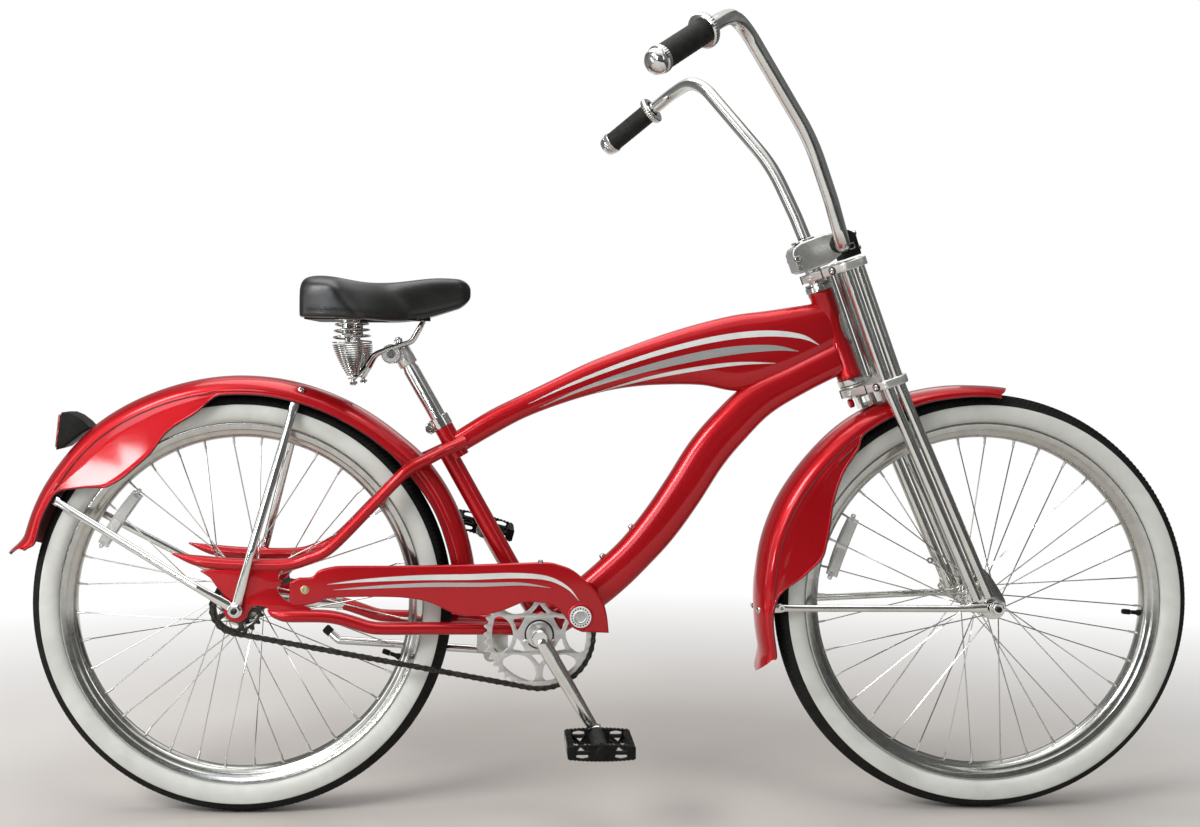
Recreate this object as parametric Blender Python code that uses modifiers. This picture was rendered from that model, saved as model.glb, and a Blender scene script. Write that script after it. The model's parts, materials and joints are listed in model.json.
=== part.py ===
"""A chopper-style cruiser bicycle: low curved frame, tall handlebar, double-crown fork and deep fenders.

X points forwards, Y to the rider's left and Z up. Places in the side view are given as (x, z), with x
measured forwards from the rear axle, and REAR_AXLE_X then sets the middle of the bicycle on the origin.
"""
import math

import bmesh
import bpy
from mathutils import Matrix, Vector

# Driving dimensions, in metres
WHEELBASE = 1.180
TYRE_RADIUS = 0.3336
RIM_FLANGE_RADIUS = 0.2855
RIM_INNER_RADIUS = 0.262
RIM_WIDTH = 0.036
WHEEL_STEPS = 32
SPOKES_A_SIDE = 18
SPOKE_CROSSES = 3
SPOKE_RADIUS = 0.0011
SPOKE_HOLE_INSET = 0.004
AXLE_Z = TYRE_RADIUS * math.cos(math.pi / WHEEL_STEPS)
REAR_AXLE_X = -0.5715
GAP = 0.0003

PITCH = 0.0127
CHAINRING_TEETH = 42
SPROCKET_TEETH = 20
CHAIN_Y = -0.048
BRACKET = (0.469, 0.289)
CRANK_LENGTH = 0.170
CRANK_ANGLE = math.radians(30.7)
CRANK_RADIUS = 0.0105
CRANK_ARM_Y = 0.0755
PEDAL_EYE_Y = 0.079
PEDAL_Y = 0.1335
SPINDLE_LENGTH = 0.086
LEFT_PEDAL_TIP = math.radians(15.0)
SHELL_RADIUS = 0.029
SHELL_HALF_WIDTH = 0.034

STEER_POINT = (0.945, 0.760)
STEER_ANGLE = math.radians(19.4)
FORK_KINK_ANGLE = math.radians(3.66)
FORK_OFFSET = 0.045
FORK_HALF_WIDTH = 0.0595
FORK_TUBE_RADIUS = 0.0087
FORK_TUBE_SPACING = 0.0190
STEERER_RADIUS = 0.0127
HEAD_TUBE_RADIUS = 0.019
HEAD_TOP = 0.073
HEAD_BOTTOM = 0.075
UPPER_CROWN_S = -0.098
LOWER_CROWN_S = 0.096
CROWN_THICKNESS = 0.013

BAR_RADIUS = 0.0111
STEM_FORWARD = 0.0475
STEM_S = -0.135
GRIP_RADIUS = 0.0173
CAP_RADIUS = 0.0182

SEAT_ANGLE = math.radians(29.2)
SEAT_LUG_TOP = (0.3085, 0.6260)
SEAT_LUG_LENGTH = 0.072
SEAT_LUG_RADIUS = 0.0155
SEAT_POST_RADIUS = 0.0127
POST_TIP_RADIUS = 0.0111
SEAT_POST_INSERT = 0.058
SEAT_POST_TOP = 0.124

FENDER_HALF_WIDTH = 0.039
FENDER_THICKNESS = 0.0016
CROWN_HEIGHT = 0.024
UPPER_STAY_Y = 0.0545
UPPER_STAY_RADIUS = 0.0095
CHAINSTAY_RADIUS = 0.0100
DROPOUT_Y = 0.058
DROPOUT_THICKNESS = 0.0055
FENDER_STAY_Y = 0.0670
MIDDLE_STAY_Y = 0.0705
AXLE_RADIUS = 0.0048
AXLE_NUT_Y = 0.0720

SADDLE_PIVOT = (0.235, 0.7265)
SADDLE_NOSE_X = 0.2890
RAIL_RADIUS = 0.0036
SPRING_X = 0.1730
SPRING_Y = 0.0750
SPRING_SEAT_Z = 0.7445
SPRING_FOOT = (0.1815, -0.0750, 0.6875)
SLEEVE_RADIUS = 0.0085
SLEEVE_BORE = 0.0071
SLEEVE_LOW = 0.7550
LOWER_CURLS = 8
UPPER_CURLS = 3
KICKSTAND_PIVOT = (0.392, 0.043, 0.2420)


def clear_scene():
    for old in list(bpy.data.objects):
        bpy.data.objects.remove(old, do_unlink=True)


clear_scene()
PARTS = bpy.data.collections.new("chopper_bike")
CUTTERS = bpy.data.collections.new("cutters")
bpy.context.scene.collection.children.link(PARTS)
bpy.context.scene.collection.children.link(CUTTERS)


def principled(name, colour, roughness, metallic=0.0):
    made = bpy.data.materials.new(name)
    made.use_nodes = True
    shader = made.node_tree.nodes["Principled BSDF"]
    shader.inputs["Base Color"].default_value = (*colour, 1.0)
    shader.inputs["Roughness"].default_value = roughness
    shader.inputs["Metallic"].default_value = metallic
    made.diffuse_color = (*colour, 1.0)
    return made


PAINT = principled("red_paint", (0.42, 0.008, 0.014), 0.22)
CHROME = principled("chrome", (0.83, 0.83, 0.82), 0.09, 1.0)
ALLOY = principled("brushed_alloy", (0.66, 0.66, 0.63), 0.38, 1.0)
BLACK = principled("black_plastic", (0.018, 0.018, 0.018), 0.5)
TYRE = principled("tyre_rubber", (0.022, 0.022, 0.022), 0.75)
VINYL = principled("black_vinyl", (0.02, 0.02, 0.021), 0.4)
DARK_STEEL = principled("dark_steel", (0.09, 0.09, 0.09), 0.4, 1.0)


# Places and directions
def at(x, y, z):
    """A point given from the rear axle."""
    return Vector((REAR_AXLE_X + x, y, z))


def steer(s, f, y=0.0):
    """A point given along the steering axis: s down it from STEER_POINT, f square to it, forwards."""
    x = STEER_POINT[0] + s * math.sin(STEER_ANGLE) + f * math.cos(STEER_ANGLE)
    z = STEER_POINT[1] - s * math.cos(STEER_ANGLE) + f * math.sin(STEER_ANGLE)
    return at(x, y, z)


def seat(s, f=0.0, y=0.0):
    """A point given along the seat post's axis: s up it from the lug's top, f square to it, forwards."""
    x = SEAT_LUG_TOP[0] - s * math.sin(SEAT_ANGLE) + f * math.cos(SEAT_ANGLE)
    z = SEAT_LUG_TOP[1] + s * math.cos(SEAT_ANGLE) + f * math.sin(SEAT_ANGLE)
    return at(x, y, z)


REAR_AXLE = at(0.0, 0.0, AXLE_Z)
FRONT_AXLE = at(WHEELBASE, 0.0, AXLE_Z)
BRACKET_AXIS = at(BRACKET[0], 0.0, BRACKET[1])
DOWN_STEER = (steer(1.0, 0.0) - steer(0.0, 0.0)).normalized()
UP_POST = (seat(1.0) - seat(0.0)).normalized()
LEFT = Vector((0.0, 1.0, 0.0))
UP = Vector((0.0, 0.0, 1.0))


def frame_at(centre, direction, sideways=None):
    """The matrix of a piece at centre, with its local Z along direction."""
    z = direction.normalized()
    guide = sideways if sideways is not None else (LEFT if abs(z.dot(LEFT)) < 0.9 else UP)
    x = (guide - z * guide.dot(z)).normalized()
    y = z.cross(x)
    made = Matrix((x, y, z)).transposed().to_4x4()
    made.translation = centre
    return made


# Makers of pieces
def keep(name, mesh, colour, matrix=None, smooth=35.0):
    made = bpy.data.objects.new(name, mesh)
    PARTS.objects.link(made)
    mesh.materials.clear()
    mesh.materials.append(colour)
    mesh.shade_smooth()
    mesh.set_sharp_from_angle(angle=math.radians(smooth))
    if matrix is not None:
        made.matrix_world = matrix
    return made


def from_bmesh(name, form, colour, matrix=None, smooth=35.0):
    bmesh.ops.recalc_face_normals(form, faces=form.faces)
    mesh = bpy.data.meshes.new(name)
    form.to_mesh(mesh)
    form.free()
    return keep(name, mesh, colour, matrix, smooth)


def from_curve(name, curve, colour, matrix=None, smooth=35.0):
    """A curve's solid as a mesh, with its caps welded on."""
    drawn = bpy.data.objects.new(name + "_curve", curve)
    PARTS.objects.link(drawn)
    if matrix is not None:
        drawn.matrix_world = matrix
    graph = bpy.context.evaluated_depsgraph_get()
    mesh = bpy.data.meshes.new_from_object(drawn.evaluated_get(graph))
    place = drawn.matrix_world.copy()
    bpy.data.objects.remove(drawn)
    form = bmesh.new()
    form.from_mesh(mesh)
    bmesh.ops.remove_doubles(form, verts=form.verts, dist=0.00002)
    return from_bmesh(name, form, colour, place, smooth)


def tube(name, points, radius, colour, sides=10, radii=None):
    """A round bar along points. radii, where given, holds one radius for each point."""
    curve = bpy.data.curves.new(name, "CURVE")
    curve.dimensions = "3D"
    curve.bevel_depth = radius
    curve.bevel_resolution = (sides - 4) // 2
    curve.use_fill_caps = True
    line = curve.splines.new("POLY")
    line.points.add(len(points) - 1)
    for number, point in enumerate(points):
        line.points[number].co = (*point, 1.0)
        if radii is not None:
            line.points[number].radius = radii[number] / radius
    return from_curve(name, curve, colour)


def clear(radius, sides):
    """A hole's radius that leaves the gap round a bar, however its flats lie."""
    return (radius + GAP) / math.cos(math.pi / sides)


def bar(name, start, end, radius, colour, sides=12):
    form = bmesh.new()
    bmesh.ops.create_cone(form, cap_ends=True, segments=sides, radius1=radius, radius2=radius,
                          depth=(end - start).length)
    return from_bmesh(name, form, colour, frame_at((start + end) / 2, end - start))


def block(name, size, centre, colour, direction=UP, sideways=None, bevel=0.0):
    form = bmesh.new()
    bmesh.ops.create_cube(form, size=1.0, matrix=Matrix.Diagonal((*size, 1.0)))
    if bevel > 0.0:
        bmesh.ops.bevel(form, geom=form.edges[:], offset=bevel, segments=1, affect="EDGES")
    return from_bmesh(name, form, colour, frame_at(centre, direction, sideways))


def turned(name, profile, centre, direction, colour, steps=20):
    """A turned piece. The profile holds (radius, height) pairs, down the outer side and up the inner."""
    mesh = bpy.data.meshes.new(name)
    count = len(profile)
    on_axis = profile[0][0] == 0.0
    edges = [(number, (number + 1) % count) for number in range(count - 1 if on_axis else count)]
    mesh.from_pydata([(radius, 0.0, height) for radius, height in profile], edges, [])
    made = keep(name, mesh, colour, frame_at(centre, direction))
    screw = made.modifiers.new("turn", "SCREW")
    screw.steps = steps
    screw.render_steps = steps
    screw.use_merge_vertices = True
    screw.merge_threshold = 0.00001
    screw.use_smooth_shade = True
    return made


def plate(name, outline, thickness, colour, matrix, holes=(), smooth=35.0):
    """A flat plate: outline and holes are in the matrix's own X and Y, thickness along its Z."""
    curve = bpy.data.curves.new(name, "CURVE")
    curve.dimensions = "2D"
    curve.fill_mode = "BOTH"
    curve.extrude = thickness / 2
    for ring in (outline, *holes):
        line = curve.splines.new("POLY")
        line.points.add(len(ring) - 1)
        for number, (x, y) in enumerate(ring):
            line.points[number].co = (x, y, 0.0, 1.0)
        line.use_cyclic_u = True
    return from_curve(name, curve, colour, matrix, smooth)


def side_plate(name, outline, y, thickness, colour, holes=()):
    """A plate square to Y, whose outline holds (x, z) places from the rear axle."""
    matrix = Matrix(((1, 0, 0, REAR_AXLE_X), (0, 0, -1, y), (0, 1, 0, 0), (0, 0, 0, 1)))
    return plate(name, outline, thickness, colour, matrix, holes)


def loft(name, rings, colour, smooth=35.0):
    """A closed body through rings of equal counts of points."""
    form = bmesh.new()
    rows = [[form.verts.new(point) for point in ring] for ring in rings]
    count = len(rows[0])
    for lower, upper in zip(rows, rows[1:]):
        for number in range(count):
            following = (number + 1) % count
            form.faces.new((lower[number], lower[following], upper[following], upper[number]))
    form.faces.new(rows[0])
    form.faces.new(rows[-1])
    return from_bmesh(name, form, colour, smooth=smooth)


def boolean(target, other, operation):
    PARTS.objects.unlink(other)
    CUTTERS.objects.link(other)
    other.hide_render = True
    other.display_type = "WIRE"
    step = target.modifiers.new(other.name, "BOOLEAN")
    step.operation = operation
    step.object = other


def cut(target, *others):
    for other in others:
        boolean(target, other, "DIFFERENCE")


def fuse(target, *others):
    for other in others:
        boolean(target, other, "UNION")


# Outlines
def circle(centre, radius, steps, start=0.0):
    turn = 2 * math.pi / steps
    return [(centre[0] + radius * math.cos(start + turn * k), centre[1] + radius * math.sin(start + turn * k))
            for k in range(steps)]


def rounded(points, bends):
    """The path through points, with each inner corner given its bend: a radius and a count of steps."""
    path = [points[0]]
    for before, corner, after, (radius, steps) in zip(points, points[1:], points[2:], bends):
        to_before = (before - corner).normalized()
        to_after = (after - corner).normalized()
        half = to_before.angle(to_after) / 2
        reach = radius / math.tan(half)
        first, last = corner + to_before * reach, corner + to_after * reach
        centre = corner + (to_before + to_after).normalized() * (radius / math.sin(half))
        swing = (first - centre).angle(last - centre)
        for k in range(steps + 1):
            share = k / steps
            arm = (first - centre) * math.sin(swing * (1 - share)) + (last - centre) * math.sin(swing * share)
            path.append(centre + arm / math.sin(swing))
    path.append(points[-1])
    return path


def hull(points):
    """The convex outline round flat points."""
    def half(ordered):
        line = []
        for point in ordered:
            while len(line) > 1 and ((line[-1][0] - line[-2][0]) * (point[1] - line[-2][1])
                                     <= (line[-1][1] - line[-2][1]) * (point[0] - line[-2][0])):
                line.pop()
            line.append(point)
        return line[:-1]
    ordered = sorted(points)
    return half(ordered) + half(ordered[::-1])


def oval(top, bottom, half_width, steps=12, power=2.5):
    """A soft-cornered ring, square to Y's plane, between two places in the side view."""
    upper, lower = at(top[0], 0.0, top[1]), at(bottom[0], 0.0, bottom[1])
    centre, arm = (upper + lower) / 2, (upper - lower) / 2
    ring = []
    for k in range(steps):
        turn = 2 * math.pi * (k + 0.5) / steps
        sine, cosine = math.sin(turn), math.cos(turn)
        up = math.copysign(abs(sine) ** (2 / power), sine)
        side = math.copysign(abs(cosine) ** (2 / power), cosine)
        ring.append(centre + arm * up + LEFT * (half_width * side))
    return ring


def mirrored(points):
    return [Vector((point.x, -point.y, point.z)) for point in points]


# Frame tubes: top and bottom edges in the side view, with half the width
TOP_TUBE = [
    ((0.333, 0.601), (0.349, 0.570), 0.0150),
    ((0.388, 0.635), (0.404, 0.602), 0.0155),
    ((0.434, 0.658), (0.450, 0.626), 0.0165),
    ((0.492, 0.686), (0.508, 0.648), 0.0175),
    ((0.550, 0.714), (0.566, 0.665), 0.0185),
    ((0.608, 0.737), (0.620, 0.6745), 0.0195),
    ((0.666, 0.758), (0.676, 0.678), 0.0205),
    ((0.725, 0.776), (0.732, 0.677), 0.0213),
    ((0.783, 0.790), (0.794, 0.668), 0.0218),
    ((0.842, 0.798), (0.862, 0.690), 0.0220),
    ((0.925, 0.811), (0.944, 0.735), 0.0185),
]
DOWN_TUBE = [
    ((0.938, 0.745), (0.956, 0.695), 0.0205),
    ((0.870, 0.712), (0.900, 0.667), 0.0225),
    ((0.800, 0.677), (0.842, 0.632), 0.0230),
    ((0.750, 0.631), (0.799, 0.589), 0.0230),
    ((0.711, 0.585), (0.764, 0.547), 0.0230),
    ((0.676, 0.530), (0.726, 0.488), 0.0230),
    ((0.643, 0.481), (0.687, 0.434), 0.0228),
    ((0.605, 0.433), (0.648, 0.391), 0.0225),
    ((0.570, 0.399), (0.606, 0.350), 0.0222),
    ((0.527, 0.362), (0.558, 0.312), 0.0220),
    ((0.478, 0.325), (0.496, 0.272), 0.0215),
]


def grown(stations, by):
    """The stations with every edge and both ends moved out by the gap."""
    made = []
    for top, bottom, half_width in stations:
        step = (Vector(top) - Vector(bottom)).normalized() * by
        made.append([Vector(top) + step, Vector(bottom) - step, half_width + by])
    for end, neighbour in ((0, 1), (-1, -2)):
        out = (Vector(stations[end][0]) - Vector(stations[neighbour][0])).normalized() * by
        made[end][0] += out
        made[end][1] += out
    return made


def tube_loft(name, stations):
    return loft(name, [oval(*station) for station in stations], PAINT)


def head_and_bracket_cutters(name):
    """Cutters that leave the gap round the head tube and the bracket shell."""
    head_gap = clear(HEAD_TUBE_RADIUS, 16)
    return (bar(name + "_head_gap", steer(-0.2, 0.0), steer(0.2, 0.0), head_gap, PAINT, 16),
            bar(name + "_bracket_gap", BRACKET_AXIS - LEFT * 0.06, BRACKET_AXIS + LEFT * 0.06,
                clear(SHELL_RADIUS, 16), PAINT, 16))


def lug_cutter(name):
    return bar(name, seat(-SEAT_LUG_LENGTH - GAP), seat(0.03), clear(SEAT_LUG_RADIUS, 14), PAINT, 14)


STAY_PATH = [at(x, -y, z) for x, y, z in [
    (0.352, 0.0130, 0.588), (0.323, 0.0260, 0.576), (0.294, 0.0420, 0.562), (0.268, 0.0515, 0.549),
    (0.246, UPPER_STAY_Y, 0.530), (0.200, UPPER_STAY_Y, 0.482), (0.144, UPPER_STAY_Y, 0.426),
    (0.110, UPPER_STAY_Y, 0.409), (0.075, UPPER_STAY_Y, 0.400), (-0.001, UPPER_STAY_Y, 0.4005),
    (-0.058, UPPER_STAY_Y, 0.4055), (-0.100, UPPER_STAY_Y, 0.417)]]
STAY_RADII = [UPPER_STAY_RADIUS] * (len(STAY_PATH) - 2) + [0.0080, 0.0015]
CHAINSTAY_PATH = [at(x, -y, z) for x, y, z in [
    (0.050, DROPOUT_Y, 0.3207), (0.130, 0.0565, 0.320), (0.155, 0.0545, 0.3165), (0.180, 0.0520, 0.309),
    (0.205, 0.0500, 0.301), (0.230, 0.0475, 0.2985), (0.300, 0.0425, 0.2975), (0.350, 0.0365, 0.296),
    (0.400, 0.0290, 0.294), (0.450, 0.0220, 0.291)]]
DROPOUT_OUTLINE = [(-0.050, 0.393), (-0.040, 0.380), (-0.031, 0.367), (-0.021, 0.355), (-0.018, 0.345),
                   (-0.020, 0.331), (-0.016, 0.320), (-0.007, 0.313), (0.007, 0.312), (0.017, 0.317),
                   (0.026, 0.322), (0.060, 0.321), (0.060, 0.332), (0.053, 0.341), (0.050, 0.362),
                   (0.052, 0.393)]


def make_frame():
    head = bar("head_tube", steer(-HEAD_TOP, 0.0), steer(HEAD_BOTTOM, 0.0), HEAD_TUBE_RADIUS, PAINT, 16)
    bulge = [(0.0, 0.0235), (0.013, 0.0222), (0.0195, 0.0175), (0.0195, 0.012), (0.0, 0.012)]
    badge = turned("badge_bulge", bulge, steer(-0.005, 0.0), steer(0.0, 1.0) - steer(0.0, 0.0), PAINT, 12)
    badge.scale = (0.72, 1.25, 1.0)
    fuse(head, badge)
    cut(head, bar("head_bore", steer(-0.1, 0.0), steer(0.1, 0.0), 0.0155, PAINT, 16))

    down = tube_loft("down_tube", DOWN_TUBE)
    cut(down, *head_and_bracket_cutters("down_tube"))
    for number, (x, z) in enumerate(((0.573, 0.402), (0.619, 0.449))):
        root, end = at(x + 0.006, 0.0, z - 0.006), at(x - 0.0035, 0.0, z + 0.0035)
        boss = bar(f"boss_{number}", root, end, 0.005, PAINT, 10)
        fuse(down, boss)

    top = tube_loft("top_tube", TOP_TUBE)
    head_gap, bracket_gap = head_and_bracket_cutters("top_tube")
    bpy.data.objects.remove(bracket_gap)
    cut(top, tube_loft("down_tube_gap", grown(DOWN_TUBE, GAP)), head_gap, lug_cutter("top_tube_lug_gap"))

    end = SHELL_HALF_WIDTH
    shell = [(SHELL_RADIUS, end), (SHELL_RADIUS, -end), (0.0114, -end), (0.0114, -0.026), (0.0235, -0.024),
             (0.0235, 0.024), (0.0114, 0.026), (0.0114, end)]
    turned("bottom_bracket_shell", shell, BRACKET_AXIS, LEFT, PAINT, 16)

    bore = clear(SEAT_POST_RADIUS, 16)
    lug = bar("seat_tube", seat(-SEAT_LUG_LENGTH), seat(0.0), SEAT_LUG_RADIUS, PAINT, 14)
    lower = bar("seat_tube_lower", at(0.322, 0.0, 0.573), BRACKET_AXIS, 0.0143, PAINT, 12)
    ears = block("binder_ears", (0.014, 0.016, 0.018), seat(-0.010, -0.0175), PAINT, UP_POST)
    slot = block("binder_slot", (0.0018, 0.030, 0.050), seat(-0.005, -0.022), PAINT, UP_POST)
    hole = bar("post_bore", seat(-SEAT_LUG_LENGTH - 0.002), seat(0.02), bore, PAINT, 16)
    bolt_ends = [seat(-0.010, -0.0215, y) for y in (-0.0125, -0.0085, 0.0085, 0.0125)]
    bolt_hole = bar("binder_hole", bolt_ends[0] - LEFT * 0.01, bolt_ends[3] + LEFT * 0.01, 0.0036, PAINT, 10)
    fuse(lug, lower, ears)
    cut(lug, hole, slot, bolt_hole, bar("seat_tube_bracket_gap", BRACKET_AXIS - LEFT * 0.06,
                                        BRACKET_AXIS + LEFT * 0.06, clear(SHELL_RADIUS, 16), PAINT, 16))
    binder = bar("seat_binder_bolt", bolt_ends[0], bolt_ends[3], 0.0030, CHROME, 8)
    fuse(binder, bar("binder_head", bolt_ends[0], bolt_ends[1], 0.0055, CHROME, 10),
         bar("binder_nut", bolt_ends[2], bolt_ends[3], 0.0055, CHROME, 6))

    for side, sign in (("right", 1), ("left", -1)):
        stay_path = STAY_PATH if sign == 1 else mirrored(STAY_PATH)
        stay = tube(f"upper_stay_{side}", stay_path, UPPER_STAY_RADIUS, PAINT, 8, STAY_RADII)
        cut(stay, tube_loft(f"stay_top_tube_gap_{side}", grown(TOP_TUBE, GAP)),
            lug_cutter(f"stay_lug_gap_{side}"))
        chainstay_path = CHAINSTAY_PATH if sign == 1 else mirrored(CHAINSTAY_PATH)
        chainstay = tube(f"chainstay_{side}", chainstay_path, CHAINSTAY_RADIUS, PAINT, 8)
        fuse(chainstay, side_plate(f"dropout_{side}", DROPOUT_OUTLINE, -sign * DROPOUT_Y,
                                   DROPOUT_THICKNESS, PAINT))
        cut(chainstay, tube(f"dropout_stay_gap_{side}", stay_path, UPPER_STAY_RADIUS + GAP, PAINT, 8,
                            [radius + GAP for radius in STAY_RADII]),
            bar(f"axle_slot_{side}", REAR_AXLE - LEFT * 0.09, REAR_AXLE + LEFT * 0.09, 0.0055, PAINT, 12),
            bar(f"chainstay_bracket_gap_{side}", BRACKET_AXIS - LEFT * (SHELL_HALF_WIDTH + GAP),
                BRACKET_AXIS + LEFT * (SHELL_HALF_WIDTH + GAP), clear(SHELL_RADIUS, 16), PAINT, 16))


# Fenders: angle round the wheel's centre in degrees, crown radius, edge radius
REAR_FENDER = [(168.4, 0.3765, 0.3450), (162.0, 0.3600, 0.3345), (155.0, 0.3620, 0.3382),
               (149.0, 0.3635, 0.3386), (143.0, 0.3638, 0.3090), (137.0, 0.3647, 0.2775),
               (130.0, 0.3655, 0.2708), (121.0, 0.3638, 0.2752), (112.0, 0.3618, 0.2963),
               (103.0, 0.3608, 0.3100), (94.0, 0.3604, 0.3343), (84.0, 0.3600, 0.3345),
               (73.0, 0.3600, 0.3345), (61.0, 0.3610, 0.3350), (49.0, 0.3635, 0.3375),
               (37.0, 0.3700, 0.3380), (25.0, 0.3718, 0.3410), (15.0, 0.3720, 0.3400),
               (5.0, 0.3720, 0.3400)]
FRONT_FENDER = [(197.2, 0.3780, 0.3470), (191.0, 0.3640, 0.3435), (184.0, 0.3640, 0.3445),
                (178.0, 0.3652, 0.3360), (171.0, 0.3655, 0.2980), (163.0, 0.3665, 0.2755),
                (155.0, 0.3662, 0.2816), (147.0, 0.3644, 0.2966), (138.0, 0.3630, 0.3128),
                (130.5, 0.3628, 0.3228), (126.0, 0.3620, 0.3380), (117.0, 0.3585, 0.3375),
                (108.0, 0.3535, 0.3370), (99.0, 0.3493, 0.3340), (90.5, 0.3454, 0.3320),
                (83.0, 0.3440, 0.3300)]
FENDER_DRAFT = 0.0025


def make_fender(name, axle, stations, tail_lag, front_lag):
    """A deep fender: an open sheet, bowed across and drawn round the wheel, given its thickness.

    Each lag turns an end's sides back from its crown, in degrees.
    """
    form = bmesh.new()
    rows = []
    lags = [tail_lag] + [0.0] * (len(stations) - 2) + [front_lag]
    for (angle, crown, edge), lag in zip(stations, lags):
        depth = min(CROWN_HEIGHT, crown - edge - 0.002)
        side = crown - depth
        row = []
        for step in range(-4, 5):
            bow = math.radians(min(abs(step), 3) * 30.0)
            radius = crown - depth * (1 - math.cos(bow))
            y = FENDER_HALF_WIDTH * math.sin(bow)
            if abs(step) == 4:
                radius = edge
                y += FENDER_DRAFT * min((side - edge) / 0.07, 1.0)
            turn = math.radians(angle - lag * min(abs(step) / 3, 1.0))
            row.append(form.verts.new(axle + Vector((radius * math.cos(turn), math.copysign(y, step),
                                                     radius * math.sin(turn)))))
        rows.append(row)
    for row, following in zip(rows, rows[1:]):
        for number in range(len(row) - 1):
            form.faces.new((row[number], row[number + 1], following[number + 1], following[number]))
    fender = from_bmesh(name, form, PAINT)
    skin = fender.modifiers.new("skin", "SOLIDIFY")
    skin.thickness = FENDER_THICKNESS
    skin.offset = 0.0
    return fender


def fender_stay(name, axle_place, bend, foot, radius):
    """A chrome stay whose flat eye goes on the axle and whose flat foot reaches under the fender's edge."""
    heading = (bend - axle_place).normalized()
    foot_heading = (foot - bend).normalized()
    stay = tube(name, [axle_place + heading * 0.014, bend, foot - foot_heading * 0.008], radius, CHROME, 6)
    eye_form = circle((0.0, 0.0), 0.0085, 8) + [(0.019, 0.0035), (0.019, -0.0035)]
    matrix = Matrix((heading, LEFT.cross(heading), LEFT)).transposed().to_4x4()
    matrix.translation = axle_place
    eye = plate(name + "_eye", hull(eye_form), 0.0024, CHROME, matrix)
    sole = block(name + "_foot", (0.0150, 0.0024, 0.0280), foot, CHROME, foot_heading,
                 foot_heading.cross(LEFT))
    fuse(stay, eye, sole)
    cut(stay, bar(name + "_hole", axle_place - LEFT * 0.02, axle_place + LEFT * 0.02, 0.0054, CHROME, 8))


def make_fenders():
    make_fender("rear_fender", REAR_AXLE, REAR_FENDER, 3.2, 0.0)
    make_fender("front_fender", FRONT_AXLE, FRONT_FENDER, -2.5, -3.6)
    for side, sign in (("right", -1), ("left", 1)):
        outer, middle = sign * FENDER_STAY_Y, sign * MIDDLE_STAY_Y
        fender_stay(f"rear_fender_stay_{side}", at(0.0, outer, AXLE_Z), at(-0.060, outer, 0.3673),
                    at(-0.2905, sign * 0.0325, 0.4990), 0.0045)
        fender_stay(f"middle_fender_stay_{side}", at(0.0, middle, AXLE_Z), at(0.0245, middle, 0.4225),
                    at(0.0860, sign * 0.0330, 0.6480), 0.0045)
        fender_stay(f"front_fender_stay_{side}", at(WHEELBASE, outer, AXLE_Z),
                    at(WHEELBASE - 0.060, outer, 0.3309), at(0.8440, sign * 0.0330, 0.3255), 0.0045)

    face, foot_low, foot_high = (-0.284, 0.634), (-0.290, 0.575), (-0.237, 0.610)
    housing = side_plate("tail_reflector", [face, foot_low, (-0.277, 0.579), (-0.250, 0.602), foot_high,
                                            (-0.262, 0.622)], 0.0, 0.044, BLACK)
    cut(housing, turned("fender_crown_gap", [(0.3676, 0.06), (0.3676, -0.06), (0.2, -0.06), (0.2, 0.06)],
                        REAR_AXLE, LEFT, BLACK, 64))


def spoke_cones(axle, flanges, first_turn):
    """The laced spokes of both flanges, each crossing three others on its way to the rim."""
    form = bmesh.new()
    pitch = 2 * math.pi / SPOKES_A_SIDE
    reach = RIM_INNER_RADIUS * math.cos(math.pi / WHEEL_STEPS) - 2 * GAP
    for number, (flange_y, flange_radius) in enumerate(flanges):
        for k in range(SPOKES_A_SIDE):
            lean = 1 if k % 2 == 0 else -1
            start_turn = first_turn + (k + number / 2) * pitch
            end_turn = start_turn + lean * pitch * SPOKE_CROSSES
            out = SPOKE_RADIUS * 1.2 * lean
            root = flange_radius - SPOKE_HOLE_INSET
            start_y = flange_y + out
            start = axle + Vector((root * math.cos(start_turn), start_y, root * math.sin(start_turn)))
            end_y = flange_y * 0.10 + out
            end = axle + Vector((reach * math.cos(end_turn), end_y, reach * math.sin(end_turn)))
            bmesh.ops.create_cone(form, cap_ends=True, segments=3, radius1=SPOKE_RADIUS, radius2=SPOKE_RADIUS,
                                  depth=(end - start).length, matrix=frame_at((start + end) / 2, end - start))
    return form


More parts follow.
